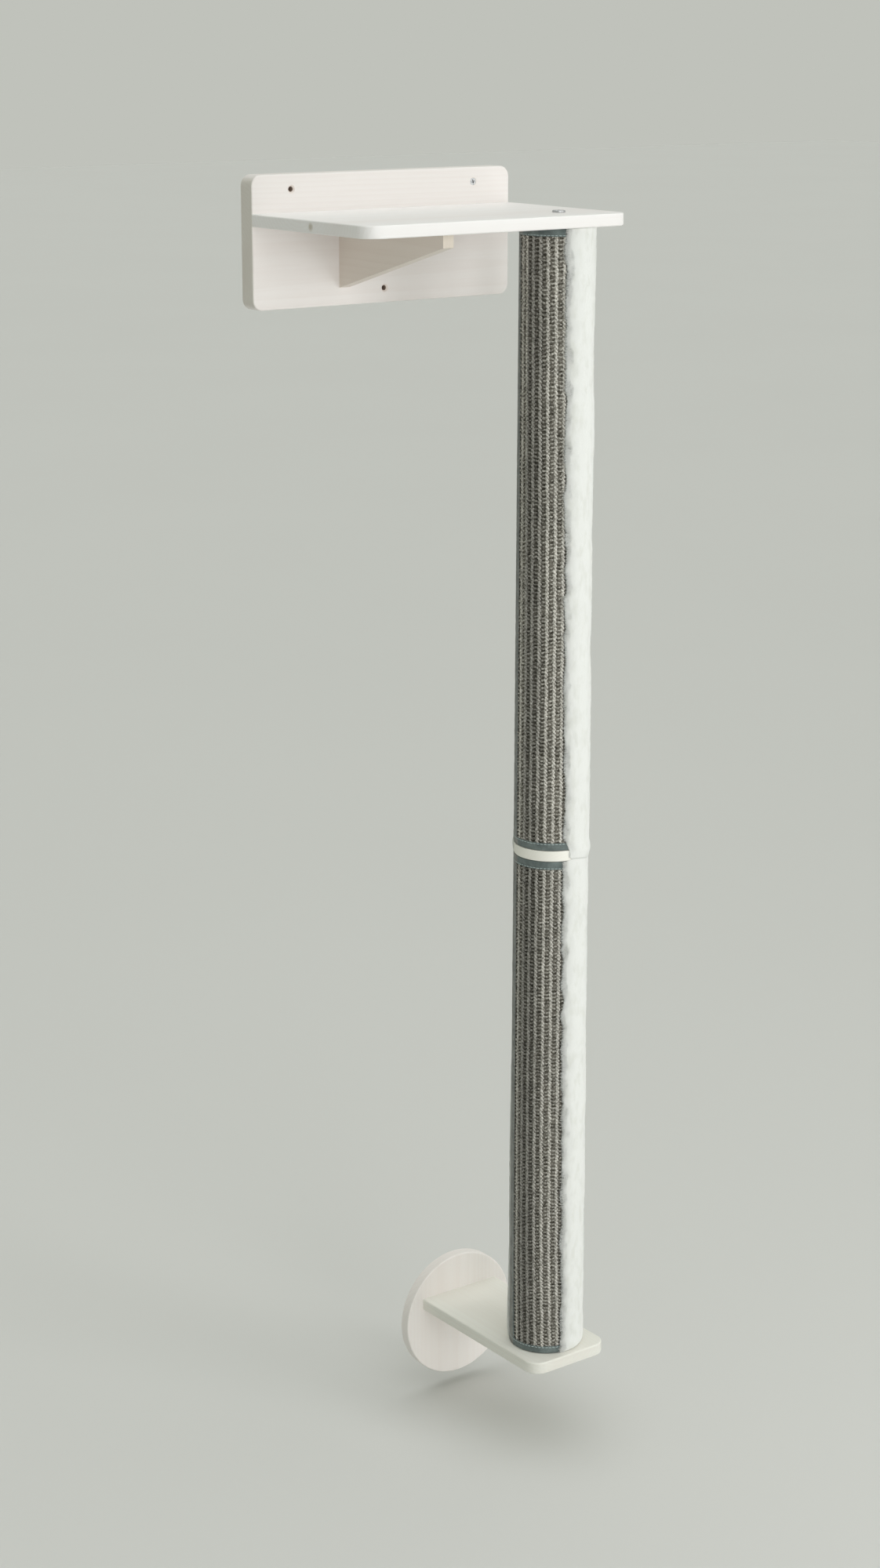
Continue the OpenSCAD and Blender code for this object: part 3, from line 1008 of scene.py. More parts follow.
@dataclass
class ScratchMat(CoverLayer):
    """Woven mat: a ground, upright ribs of two twisted plies, and weft loops between the ribs.

    A ply is flattened towards the post by ply_flatness, and its twist by ply_depth. Slubs are
    its thick places, and it drifts a little to either side.
    """

    ground_radius: float = 47.7 * MM
    ground_relief: float = 0.35 * MM
    ground_bump: float = 2.4 * MM
    ground_columns: int = 61
    under_tape_lift: float = 0.9 * MM
    under_tape_rise: float = 0.95 * MM
    under_tape_run: float = 2.0
    rib_count: int = 8
    rib_sides: int = 8
    ply_radius: float = 1.68 * MM
    ply_offset: float = 1.42 * MM
    ply_flatness: float = 0.8
    ply_depth: float = 0.7
    ply_swell: float = 0.16
    ply_twist: float = 10.5 * MM
    slub: float = 0.16
    slub_length: float = 7 * MM
    drift: float = 0.45 * MM
    drift_length: float = 16 * MM
    uneven_twist: float = 0.8
    uneven_length: float = 40 * MM
    roughness: float = 0.10
    loop_pitch: float = 5.25 * MM
    loop_radius: float = 1.38 * MM
    loop_middle: float = 48.0 * MM
    loop_bow: float = 0.9 * MM
    loop_rings: int = 6
    loop_sides: int = 6
    loop_end: float = 0.62

    @property
    def rib_step(self) -> float:
        """Turn from one rib to the next."""
        return (self.space.mat_end - self.space.window_start) / self.rib_count

    def ground(self) -> bpy.types.Object:
        """Builds the woven ground, with a shallow relief under the ribs and loops.

        Returns:
            The piece.
        """
        space = self.space
        heights = space.heights(2.0 * MM, 1.2 * MM)
        turns = np.linspace(space.mat_start + 1.3, space.mat_end, self.ground_columns)
        relief = soft_noise(self.rng, heights / self.ground_bump, np.arange(len(turns)) * 0.8)
        under_tape = 1 - share_past(turns, space.window_start - self.under_tape_run, self.under_tape_run)
        outer = self.ground_radius + self.ground_relief * relief + self.under_tape_lift * under_tape
        inner = space.inner_radius + self.under_tape_rise * under_tape
        slipped = turns + space.slip(heights)[:, None]
        grids = [space.axis.place(radius, slipped, heights[:, None]) for radius in (outer, inner)]
        draft = self.draft("mat_ground")
        draft.add_shell(*grids)
        return draft.build(self.finishes.ground, Slot.MAT)

    def ribs(self) -> bpy.types.Object:
        """Builds the upright ribs.

        Returns:
            The piece.
        """
        draft = self.draft("mat_ribs")
        heights = self.space.heights(1.3 * MM, self.space.end_tape - 0.5 * MM)
        slip = self.space.slip(heights)
        for rib in range(self.rib_count):
            middle = self.space.window_start + (rib + 0.5) * self.rib_step
            slub = soft_line(self.rng, heights / self.slub_length)
            drift = soft_line(self.rng, heights / self.drift_length)
            uneven = soft_line(self.rng, heights / self.uneven_length) * self.uneven_twist
            twist = heights * math.tau / self.ply_twist + uneven + self.rng.uniform(0, math.tau)
            for start, swollen in ((0.0, -slub), (math.pi, slub)):
                self.add_ply(draft, heights, middle + slip, twist + start, drift, swollen)
        return draft.build(self.finishes.rib, Slot.MAT)

    def add_ply(
        self,
        draft: MeshDraft,
        heights: np.ndarray,
        middle: np.ndarray,
        twist: np.ndarray,
        drift: np.ndarray,
        slub: np.ndarray,
    ) -> None:
        """Adds one twisted ply of a rib.

        Args:
            draft: Where the ply goes.
            heights: Heights of its rings.
            middle: Turn of the rib's middle at each height.
            twist: Angle of the ply round the rib's middle at each height.
            drift: Share of the drift to one side at each height.
            slub: Share of a slub at each height.
        """
        around = ring_of(self.rib_sides)
        depth = self.ply_offset * self.ply_depth
        aside = self.ply_offset * np.cos(twist) + drift * self.drift
        out = self.space.outer_radius - self.ply_flatness * self.ply_radius - depth + depth * np.sin(twist)
        thick = self.ply_radius * (1 + self.slub * slub) * (1 + self.ply_swell * np.sin(twist))
        thick = thick * (1 + self.roughness * self.rng.uniform(-1, 1, len(heights)))
        radius = out[:, None] + self.ply_flatness * thick[:, None] * np.cos(around)
        side = aside[:, None] + thick[:, None] * np.sin(around)
        turns = middle[:, None] + self.space.turned(side)
        skin = self.space.axis.place(radius, turns, heights[:, None])
        tip_turns = middle[ENDS] + self.space.turned(aside[ENDS])
        draft.add_tube(skin, self.space.axis.place(out[ENDS], tip_turns, heights[ENDS]))

    def loops(self) -> bpy.types.Object:
        """Builds the weft loops that cross the bands between the ribs like rungs.

        Returns:
            The piece.
        """
        draft = self.draft("mat_loops")
        rungs = self.space.heights(self.loop_pitch, self.space.end_tape + 1.5 * MM)
        for band in range(self.rib_count + 1):
            start = self.rng.uniform(-0.5, 0.5) * self.loop_pitch
            for rung in rungs:
                self.add_loop(draft, self.space.window_start + band * self.rib_step, rung + start)
        return draft.build(self.finishes.loop, Slot.MAT)

    def add_loop(self, draft: MeshDraft, band: float, rung: float) -> None:
        """Adds one weft loop, bowed out and sagging, with thinner ends.

        Args:
            draft: Where the loop goes.
            band: Turn of the middle of its band.
            rung: Height that it wanders from.
        """
        half = self.rng.uniform(2.4, 3.2) * MM
        tilt = self.rng.normal(0, 0.4) * MM
        sag = self.rng.uniform(-0.3, 0.8) * MM
        thick = self.loop_radius * self.rng.uniform(0.8, 1.2)
        lift = self.rng.uniform(-0.45, 0.35) * MM
        height = rung + self.rng.normal(0, 0.2) * MM
        along = np.linspace(-1, 1, self.loop_rings)
        around = ring_of(self.loop_sides)
        bow = 1 - along**2
        middle_z = height + tilt * along - sag * bow
        middle_r = self.loop_middle + lift + self.loop_bow * bow
        girth = thick * (self.loop_end + (1 - self.loop_end) * bow)
        radius = middle_r[:, None] + girth[:, None] * np.cos(around)
        z = middle_z[:, None] + girth[:, None] * np.sin(around)
        middle = band + self.space.slip(height)
        turns = middle + self.space.turned(along * half)
        skin = self.space.axis.place(radius, turns[:, None], z)
        tip_turns = middle + self.space.turned(along[ENDS] * half * 1.1)
        tips = self.space.axis.place(middle_r[ENDS], tip_turns, middle_z[ENDS])
        draft.add_tube(skin, tips, flip=True)


@dataclass
class MatBinding(CoverLayer):
    """Tape folded over the mat's upper, left and lower edges, and its stitches."""

    thickness: float = 0.8 * MM
    side_width: float = 23.7 * MM
    side_lift: float = 0.12 * MM
    swell: float = 0.22 * MM
    proud: float = 0.1 * MM
    end_inset: float = 0.3 * MM
    end_wave: float = 0.18 * MM
    side_wave: float = 0.2 * MM
    fold_points: int = 9
    end_steps: int = 70
    stitch_pitch: float = 5.0 * MM
    stitch_length: float = 3.6 * MM
    stitch_rings: int = 5
    stitch_sides: int = 6
    end_stitch_inset: float = 9.7 * MM
    end_stitch_radius: float = 0.42 * MM
    side_stitch_inset: float = 2.4 * MM
    side_stitch_radius: float = 0.38 * MM

    def fold_section(self, width: float) -> tuple[np.ndarray, np.ndarray]:
        """Section of a tape folded over an edge.

        Args:
            width: Width of the tape that shows.

        Returns:
            Distances from the folded edge and radii, round the closed section.
        """
        count = self.fold_points
        half = self.thickness / 2
        outer = self.space.outer_radius + self.proud - half
        inner = self.space.inner_radius + half
        bend = (outer - inner) / 2
        lengths = np.linspace(width, bend, count)
        swell = self.swell * np.sin(np.linspace(0, math.pi, count))
        arc = np.linspace(math.pi / 2, -math.pi / 2, count)[1:-1]
        path_d = np.concatenate([lengths, bend - bend * 0.75 * np.cos(arc), lengths[::-1]])
        path_r = np.concatenate([outer + swell, inner + bend + bend * np.sin(arc), np.full(count, inner)])
        step_d, step_r = np.gradient(path_d), np.gradient(path_r)
        size = np.hypot(step_d, step_r)
        normal_d, normal_r = step_r / size, -step_d / size
        one = (path_d + half * normal_d, path_r + half * normal_r)
        two = (path_d - half * normal_d, path_r - half * normal_r)
        return np.concatenate([one[0], two[0][::-1]]), np.concatenate([one[1], two[1][::-1]])

    def tape(self) -> bpy.types.Object:
        """Builds the folded tape, lapped at the mat's two left corners.

        Returns:
            The piece.
        """
        draft = self.draft("binding_tape")
        self.add_end_tape(draft, self.space.high, -1)
        self.add_end_tape(draft, self.space.low, 1)
        self.add_side_tape(draft)
        return draft.build(self.finishes.tape, Slot.TAPE)

    def add_end_tape(self, draft: MeshDraft, end: float, into: int) -> None:
        """Adds the tape along the mat's upper or lower edge.

        Args:
            draft: Where the tape goes.
            end: Height of the cover's end.
            into: 1 where the mat lies above that end, -1 where it lies below.
        """
        space = self.space
        away, radius = self.fold_section(space.end_tape)
        turns = np.linspace(space.mat_start + 0.6, space.mat_end, self.end_steps) + space.slip(end)
        wave = self.end_wave * soft_line(self.rng, np.arange(self.end_steps) * 0.35)[:, None]
        away = away[None, :] + wave * (away[None, :] > space.end_tape * 0.8)
        points = space.axis.place(radius[None, :], turns[:, None], end + into * (self.end_inset + away))
        draft.add_strip(points, flip=into < 0)

    def add_side_tape(self, draft: MeshDraft) -> None:
        """Adds the wide tape along the mat's left edge.

        Args:
            draft: Where the tape goes.
        """
        space = self.space
        away, radius = self.fold_section(self.side_width)
        heights = space.heights(4.0 * MM, 0.6 * MM)
        wave = self.side_wave * soft_line(self.rng, heights / (35 * MM))[:, None]
        away = away[None, :] + wave * (away[None, :] > 20 * MM)
        turns = space.mat_start + space.slip(heights)[:, None] + space.turned(away)
        points = space.axis.place(radius[None, :] + self.side_lift, turns, heights[:, None])
        draft.add_strip(points, flip=True)

    def add_stitch(self, draft: MeshDraft, centre: tuple[float, float], across: bool, size: float) -> None:
        """Adds one stitch that dips into the tape at both ends.

        Args:
            draft: Where the stitch goes.
            centre: Its turn and height.
            across: True for a stitch that lies round the post, False for an upright one.
            size: Radius of the thread.
        """
        along = np.linspace(-1, 1, self.stitch_rings)[:, None]
        around = ring_of(self.stitch_sides)[None, :]
        radius = self.space.outer_radius + (0.62 - 0.55 * along**2) * MM + size * np.cos(around)
        other = np.broadcast_to(size * np.sin(around), radius.shape)
        run = np.broadcast_to(along * self.stitch_length / 2, radius.shape)
        aside, up = (run, other) if across else (other, run)
        skin = self.space.axis.place(radius, centre[0] + self.space.turned(aside), centre[1] + up)
        draft.add_tube(skin, skin[ENDS].mean(axis=1), flip=across)

    def end_stitches(self) -> bpy.types.Object:
        """Builds the light stitches along the inner edges of the upper and lower tape.

        Returns:
            The piece.
        """
        draft = self.draft("end_stitches")
        space = self.space
        step = space.turned(self.stitch_pitch)
        for height in (space.high - self.end_stitch_inset, space.low + self.end_stitch_inset):
            for turn in np.arange(space.mat_start + 5, space.mat_end, step):
                wander = self.rng.normal(0, 0.12) * MM
                centre = (turn + space.slip(height), height + wander)
                self.add_stitch(draft, centre, True, self.end_stitch_radius)
        return draft.build(self.finishes.stitch, Slot.TAPE)

    def side_stitches(self) -> bpy.types.Object:
        """Builds the upright row of stitches near the inner edge of the side tape.

        Returns:
            The piece.
        """
        draft = self.draft("side_stitches")
        space = self.space
        turn = space.window_start - space.turned(self.side_stitch_inset)
        for height in np.arange(space.low + 14 * MM, space.high - 13 * MM, self.stitch_pitch):
            wander = self.rng.normal(0, 0.12) + space.slip(height)
            self.add_stitch(draft, (turn + wander, height), False, self.side_stitch_radius)
        return draft.build(self.finishes.shaded_side_stitch, Slot.TAPE)


@dataclass(frozen=True)
class FurShape:
    """How the plush of one post lies.

    The edges are turns to the left of straight ahead that the fur's left edge reaches, and
    opens_low draws that edge back to the right at the foot. The radii are those of its right
    side. Its ends hang over the next piece in front by hangs_low and hangs_high, and draw in at
    the back by sags_low and sags_high. The flare is a bulge just above its foot.
    """

    edge_high: float
    edge_low: float
    radius_high: float
    radius_low: float
    hangs_low: float = 0.0
    hangs_high: float = 0.0
    sags_low: float = 0.0
    sags_high: float = 0.0
    opens_low: float = 0.0
    flare: float = 0.0
    end_count: int = 0
    end_hair: float = 0.0


@dataclass(frozen=True)
class Relief:
    """One layer of the plush's lumps: its depth, its pitch up the post and its bumps round it."""

    depth: float
    pitch: float
    bumps: int


@dataclass(frozen=True)
class FurSkin:
    """Surface of the plush: its left and right edges by row, and its radii by row and column."""

    edge: np.ndarray
    last: np.ndarray
    outer: np.ndarray


@dataclass(frozen=True)
class Tufts:
    """Tufts by the turn and height of their roots.

    The lean is the heading of each along the surface: 0 is round the post, 90 degrees is up.
    The lift is how far each rises at its middle, and the width is that of its root.
    """

    turn: np.ndarray
    height: np.ndarray
    lean: np.ndarray
    lift: np.ndarray
    length: np.ndarray
    width: np.ndarray


@dataclass
class PlushCover(CoverLayer):
    """Long-pile plush: a softly lumpy mass, the pile that lies on it and the fringe at its sides."""

    shape: FurShape
    radius: float = 51.2 * MM
    over_mat: float = 51.5 * MM
    edge_radius: float = 50.5 * MM
    hang_radius: float = 50.4 * MM
    thinnest: float = 0.3 * MM
    end_inset: float = 0.3 * MM
    row_pitch: float = 2.1 * MM
    columns: int = 112
    hang_from: float = 251.0
    hang_run: float = 15.0
    sag_from: float = 268.0
    sag_run: float = 45.0
    open_from: float = 6 * MM
    open_run: float = 12 * MM
    flare_run: float = 8 * MM
    past_mat_run: float = 32.0
    edge_roll: float = 2.0
    end_roll: float = 3.2 * MM
    tuft_count: int = 11000
    fringe_count: int = 8400
    reliefs: tuple[Relief, ...] = (
        Relief(0.9 * MM, 95 * MM, 2),
        Relief(0.7 * MM, 48 * MM, 3),
        Relief(0.45 * MM, 24 * MM, 9),
        Relief(0.2 * MM, 9 * MM, 36),
        Relief(0.1 * MM, 4.6 * MM, 75),
    )
    skin: FurSkin = field(init=False)

    def reach(self, heights: Numbers) -> Numbers:
        """Turn that the fur's left edge reaches at each height, before its tufts' own spread.

        Args:
            heights: The heights.

        Returns:
            The turns.
        """
        shape, space = self.shape, self.space
        share = (heights - space.low) / space.length
        opening = 1 - share_past(heights, space.low + self.open_from, self.open_run)
        edge = shape.edge_low + (shape.edge_high - shape.edge_low) * share
        return 270.0 - edge + shape.opens_low * opening

    def ends(self, turns: np.ndarray) -> tuple[np.ndarray, np.ndarray]:
        """Heights of the fur's lower and upper ends, which hang over clear of the mat.

        Args:
            turns: The turns.

        Returns:
            The lower and the upper end at each turn.
        """
        shape, space = self.shape, self.space
        hang = ease(share_past(turns, self.hang_from, self.hang_run))
        sag = ease(share_past(turns, self.sag_from, self.sag_run))
        low = space.low + self.end_inset - shape.hangs_low * hang - shape.sags_low * sag
        return low, space.high - self.end_inset + shape.hangs_high * hang - shape.sags_high * sag

    def body_radius(self, along: np.ndarray, turns: np.ndarray, above: np.ndarray) -> np.ndarray:
        """Radius of the plush's mass before its lumps: full over the mat, and its own beside it.

        Args:
            along: Share of the cover's length at each row.
            turns: Turn of each point.
            above: Height of each point above the fur's lower end.

        Returns:
            The radius at each point.
        """
        side = self.shape.radius_low + along * (self.shape.radius_high - self.shape.radius_low)
        over_mat = np.maximum(side, self.over_mat)
        past_mat = share_past(turns, self.space.mat_end, self.past_mat_run)
        flare = self.shape.flare * np.exp(-((above / self.flare_run - 1.6) ** 2))
        return over_mat + (side - over_mat) * ease(past_mat) + flare * past_mat

    def back(self) -> bpy.types.Object:
        """Builds the plush's softly lumpy mass, which leans over the mat's right edge.

        Returns:
            The piece.
        """
        space = self.space
        rows = math.ceil(space.length / self.row_pitch)
        along = np.linspace(0, 1, rows)[:, None]
        share = np.linspace(0, 1, self.columns)
        plain = space.low + along[:, 0] * space.length
        wander = 2.4 * soft_line(self.rng, plain / (24 * MM))
        wander += 1.2 * soft_line(self.rng, plain / (8 * MM))
        edge = (self.reach(plain) - 2.0 + wander)[:, None]
        last = (space.plush_end - 0.3 + space.slip(plain))[:, None]
        turns = edge + (last - edge) * share
        low, high = self.ends(turns)
        heights = low + along * (high - low)
        crown = sum(
            layer.depth * soft_noise(self.rng, plain / layer.pitch, share * layer.bumps)
            for layer in self.reliefs
        )
        roll = 1 - np.exp(-np.minimum(turns - edge, last - turns) / self.edge_roll)
        roll = roll * (1 - np.exp(-np.minimum(heights - low, high - heights) / self.end_roll))
        body = self.body_radius(along, turns, heights - low)
        outer = self.edge_radius + (body - self.edge_radius + crown) * roll
        past_ends = (heights < space.low + self.end_inset) | (heights > space.high - self.end_inset)
        over = (turns < space.mat_end + 0.3) | past_ends
        inner = np.where(over, self.hang_radius, space.inner_radius)
        outer = np.maximum(outer, inner + self.thinnest)
        self.skin = FurSkin(edge[:, 0], last[:, 0], outer)
        draft = self.draft("plush")
        draft.add_shell(*(space.axis.place(radius, turns, heights) for radius in (outer, inner)))
        return draft.build(self.finishes.plush, Slot.PLUSH)

    def surface(self, turn: np.ndarray, height: np.ndarray) -> np.ndarray:
        """Radius of the plush's surface.

        Args:
            turn: Turns of the points.
            height: Heights of the points.

        Returns:
            The radius at each point.
        """
        edge, last, outer = self.skin.edge, self.skin.last, self.skin.outer
        low, high = self.ends(turn)
        rows, columns = outer.shape
        row = np.clip((height - low) / (high - low), 0, 0.9999) * (rows - 1)
        r = row.astype(int)
        column = np.clip((turn - edge[r]) / (last[r] - edge[r]), 0, 0.9999) * (columns - 1)
        c = column.astype(int)
        up, across = row - r, column - c
        near = outer[r, c] * (1 - across) + outer[r, c + 1] * across
        far = outer[r + 1, c] * (1 - across) + outer[r + 1, c + 1] * across
        return near * (1 - up) + far * up

    def add_tufts(self, draft: MeshDraft, tufts: Tufts) -> None:
        """Adds flat tapered tufts that rise from the plush and then lie down along its surface.

        Args:
            draft: Where the tufts go.
            tufts: The tufts.
        """
        turn, height, lean = tufts.turn[:, None], tufts.height[:, None], tufts.lean[:, None]
        count = len(turn)
        steps = np.array([0.0, 0.35, 0.7, 1.0])
        rise = np.array([-0.3, 0.8, 1.0, 0.6])
        girth = np.array([0.7, 1.0, 0.75])
        section_across = np.array([1.0, 0.0, -1.0])
        section_out = np.array([-0.35, 0.3, -0.35])
        bend = self.rng.normal(0, 0.25, count)[:, None] * steps**2
        aside = np.cos(lean + bend) * tufts.length[:, None] * steps
        up = np.sin(lean + bend) * tufts.length[:, None] * steps
        way = np.degrees(aside / self.radius)
        out = self.surface(turn + way, height + up) + tufts.lift[:, None] * rise
        half = tufts.width[:, None] / 2 * girth
        spread = half[..., None] * section_across
        side_aside = aside[:, :3, None] - spread * np.sin(lean)[..., None]
        side_up = up[:, :3, None] + spread * np.cos(lean)[..., None]
        side_out = out[:, :3, None] + half[..., None] * section_out
        side_turn = turn[..., None] + np.degrees(side_aside / self.radius)
        skin = self.space.axis.place(side_out, side_turn, height[..., None] + side_up)
        tip = self.space.axis.place(out[:, 3:], (turn + way)[:, 3:], (height + up)[:, 3:])
        points = np.concatenate([skin.reshape(count, 9, 3), tip], axis=1)
        base = np.arange(count)[:, None, None] * points.shape[1]
        quads = grid_faces(3, 3, closed=True)[None] + base
        ends = np.array([[6, 7, 9], [7, 8, 9], [8, 6, 9], [0, 2, 1]])[None] + base
        draft.add(points, quads.reshape(-1, 4), ends.reshape(-1, 3))

    def comb(self, draft: MeshDraft) -> bpy.types.Object:
        """Builds a piece of tufts that take the light as the plush under them does.

        Args:
            draft: The tufts.

        Returns:
            The piece.
        """
        piece = draft.build(self.finishes.hair, Slot.PLUSH)
        out = np.concatenate(draft.points) - np.array([self.space.axis.x, self.space.axis.y, 0.0])
        out[:, 2] = 0.0
        out /= np.linalg.norm(out, axis=1)[:, None]
        piece.data.normals_split_custom_set_from_vertices(out.tolist())
        return piece

    def pile(self) -> bpy.types.Object:
        """Builds the fine hairs that lie along the plush and those that hang past its foot.

        Returns:
            The piece.
        """
        draft = self.draft("plush_pile")
        self.add_tufts(draft, self.lying_tufts())
        if self.shape.end_count:
            self.add_tufts(draft, self.hanging_tufts())
        return self.comb(draft)

    def lying_tufts(self) -> Tufts:
        """Tufts all over the plush, combed down.

        Returns:
            The tufts.
        """
        count = self.tuft_count
        start = self.space.mat_end - 4
        round_way = self.rng.uniform(0, 1, count)
        turn = start + round_way * (self.space.plush_end - start)
        low, high = self.ends(turn)
        height = low + 1 * MM + self.rng.uniform(0, 1, count) * (high - low - 2 * MM)
        lean = self.rng.normal(-math.pi / 2, 0.5, count)
        length = self.rng.uniform(4.0, 9.0, count) * MM
        lift = self.rng.uniform(-0.05, 0.2, count) * MM
        width = self.rng.uniform(0.6, 1.3, count) * MM
        longest = np.maximum(height - low + self.shape.end_hair, 1 * MM)
        turn = turn + round_way * self.space.slip(height)
        return Tufts(turn, height, lean, lift, np.minimum(length, longest), width)

    def hanging_tufts(self) -> Tufts:
        """Tufts that hang a little past the plush's foot.

        Returns:
            The tufts.
        """
        count = self.shape.end_count
        turn = self.rng.uniform(self.reach(self.space.low), self.space.plush_end, count)
        low, _ = self.ends(turn)
        height = low + self.rng.uniform(0.3, 5.0, count) * MM
        lean = self.rng.normal(-math.pi / 2, 0.35, count)
        length = height - low + self.rng.uniform(0.2, 1.0, count) * self.shape.end_hair
        lift = self.rng.uniform(-0.1, 0.3, count) * MM
        width = self.rng.uniform(0.4, 0.9, count) * MM
        return Tufts(turn, height, lean, lift, length, width)

    def fringe(self) -> bpy.types.Object:
        """Builds the fine fur that leans over the mat's right edge and over the side tape.

        Returns:
            The piece.
        """
        draft = self.draft("plush_fringe")
        self.add_tufts(draft, self.front_tufts())
        self.add_tufts(draft, self.side_tufts())
        return self.comb(draft)

    def front_tufts(self) -> Tufts:
        """Tufts that lean over the mat's right edge.

        Returns:
            The tufts.
        """
        count = self.fringe_count
        low, high = self.space.low, self.space.high
        height = self.rng.uniform(low + 1 * MM, high - 1 * MM, count)
        length = self.rng.uniform(3.5, 8.0, count) * MM
        lean = self.rng.normal(math.pi + 0.25, 0.45, count)
        edge = np.interp(height, np.linspace(low, high, len(self.skin.edge)), self.skin.edge)
        turn = edge + 2.0 + np.degrees(length / self.radius) * self.rng.uniform(0.35, 1.3, count)
        lift = self.rng.uniform(-0.2, 0.4, count) * MM
        width = self.rng.uniform(0.35, 0.75, count) * MM
        return Tufts(turn, height, lean, lift, length, width)

    def side_tufts(self) -> Tufts:
        """Tufts that lean over the tape at the mat's left edge.

        Returns:
            The tufts.
        """
        count = self.fringe_count // 3
        height = self.rng.uniform(self.space.low + 1 * MM, self.space.high - 1 * MM, count)
        turn = self.space.plush_end + self.space.slip(height) + self.rng.uniform(-6, -1, count)
        lean = self.rng.normal(-0.3, 0.45, count)
        lift = self.rng.uniform(0.0, 0.4, count) * MM
        length = self.rng.uniform(4, 7, count) * MM
        width = self.rng.uniform(0.35, 0.75, count) * MM
        return Tufts(turn, height, lean, lift, length, width)


@dataclass
class CoveredPost:
    """Cover of one post: woven mat, folded tape with its stitches, and plush with its pile."""

    space: CoverSpace
    fur: FurShape
    finishes: FabricFinishes
    seed: int

    def dress(self) -> None:
        """Builds the cover's layers, which share one random source, and hides the CAD mat, binding and plush.
        """
        rng = np.random.default_rng(self.seed)
        mat = ScratchMat(self.space, self.finishes, rng)
        binding = MatBinding(self.space, self.finishes, rng)
        cover = PlushCover(self.space, self.finishes, rng, self.fur)
        ground, *yarns = mat.ground(), mat.ribs(), mat.loops()
        tape, *stitches = binding.tape(), binding.end_stitches(), binding.side_stitches()
        plush, *hairs = cover.back(), cover.pile(), cover.fringe()
        name = self.space.name
        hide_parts(f"{name}_scratch_mat")
        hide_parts(f"{name}_mat_binding")
        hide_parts(f"{name}_plush_cover")


@dataclass(frozen=True)
class WallScrew:
    """Countersunk cross-head screw that sits in the upper right wall hole.

    Its outline is given as radii with depths behind the head's face.
    """

    hole: tuple[float, float] = SCREWED_HOLE
    face: float = -24.6 * MM
    head_radius: float = 5.0 * MM
    head_edge: float = 0.3 * MM
    shank_radius: float = 2.4 * MM
    thread_depth: float = 0.55 * MM
    thread_pitch: float = 2.2 * MM
    length: float = 24.0 * MM
    recess_depth: float = 2.2 * MM
    recess_top: float = 1.4 * MM
    turned: float = 0.35
    sides: int = 40

    def build(self, material: bpy.types.Material) -> bpy.types.Object:
        """Builds the screw with its tapered cross recess.

        Args:
            material: Zinc finish.

        Returns:
            The screw.
        """
        screw = self.solid("wall_screw", self.turned_rings())
        cutter = self.solid("cross_cutter", self.cross_rings())
        carve = screw.modifiers.new("recess", "BOOLEAN")
        carve.operation = "DIFFERENCE"
        carve.object = cutter
        carve.solver = "EXACT"
        bpy.context.view_layer.update()
        cut = bpy.data.meshes.new_from_object(screw.evaluated_get(bpy.context.evaluated_depsgraph_get()))
        screw.modifiers.clear()
        screw.data = cut
        bpy.data.objects.remove(cutter)
        bpy.context.scene.collection.objects.unlink(screw)
        cut.materials.clear()
        cut.materials.append(material)
        cut.shade_smooth()
        cut.set_sharp_from_angle(angle=math.radians(35))
        return place_piece(screw)

    def spot(self, across: float, depth: float, up: float) -> Place:
        """Place beside the screw's axis, at a depth behind the face of its head."""
        return self.hole[0] + across, self.face + depth, self.hole[1] + up

    def turned_rings(self) -> list[list[Place]]:
        """Rings of the screw's outline turned round its axis, with its thread as ridges.

        Returns:
            The rings, from the head's face to the tip, with one point where they close.
        """
        root = self.shank_radius
        outline = [(0.0, 0.0), (self.head_radius - self.head_edge, 0.0), (self.head_radius, 0.35 * MM)]
        outline += [(self.head_radius, 0.6 * MM), (root, 3.2 * MM)]
        crest = 5.0 * MM
        while crest < self.length - 1.5 * MM:
            outline += [(root, crest), (root + self.thread_depth, crest + 0.5 * MM), (root, crest + 1.0 * MM)]
            crest += self.thread_pitch
        outline += [(root, self.length - 1 * MM), (0.0, self.length)]
        rings = []
        for radius, depth in outline:
            turns = [math.tau * step / self.sides for step in range(self.sides if radius else 1)]
            rings.append([self.spot(radius * math.cos(t), depth, radius * math.sin(t)) for t in turns])
        return rings

    def cross_rings(self) -> list[list[Place]]:
        """Rings of the tapered cross that is cut out of the head.

        Returns:
            The ring in front of the head and the ring at the recess's floor.
        """
        sine, cosine = math.sin(self.turned), math.cos(self.turned)
        rings = []
        top = (-self.recess_top, 3.4 * MM, 0.95 * MM)
        floor = (self.recess_depth, 1.1 * MM, 0.6 * MM)
        for depth, reach, half in (top, floor):
            quarter = [(reach, -half), (reach, half), (half, half)]
            ring = []
            for _ in range(4):
                ring += [self.spot(u * cosine - v * sine, depth, u * sine + v * cosine) for u, v in quarter]
                quarter = [(-v, u) for u, v in quarter]
            rings.append(ring)
        return rings

    def solid(self, name: str, rings: list[list[Place]]) -> bpy.types.Object:
        """Makes a solid of rings of points, in the scene.

        Args:
            name: The solid's name.
            rings: Rings of one point or of the same number of points, each beside the next. A first
                or last ring of more points is closed with a flat face.

        Returns:
            The solid.
        """
        mesh = bpy.data.meshes.new(name)
        work = bmesh.new()
        corners = [[work.verts.new(spot) for spot in ring] for ring in rings]
        if len(rings[0]) > 1:
            work.faces.new(corners[0])
            work.faces.new(corners[-1][::-1])
        for near, far in zip(corners, corners[1:]):
            for step in range(max(len(near), len(far))):
                face = [near[step % len(near)], near[(step + 1) % len(near)]]
                face += [far[(step + 1) % len(far)], far[step % len(far)]]
                work.faces.new(list(dict.fromkeys(face)))
        bmesh.ops.recalc_face_normals(work, faces=work.faces)
        work.to_mesh(mesh)
        work.free()
        return link(bpy.data.objects.new(name, mesh))


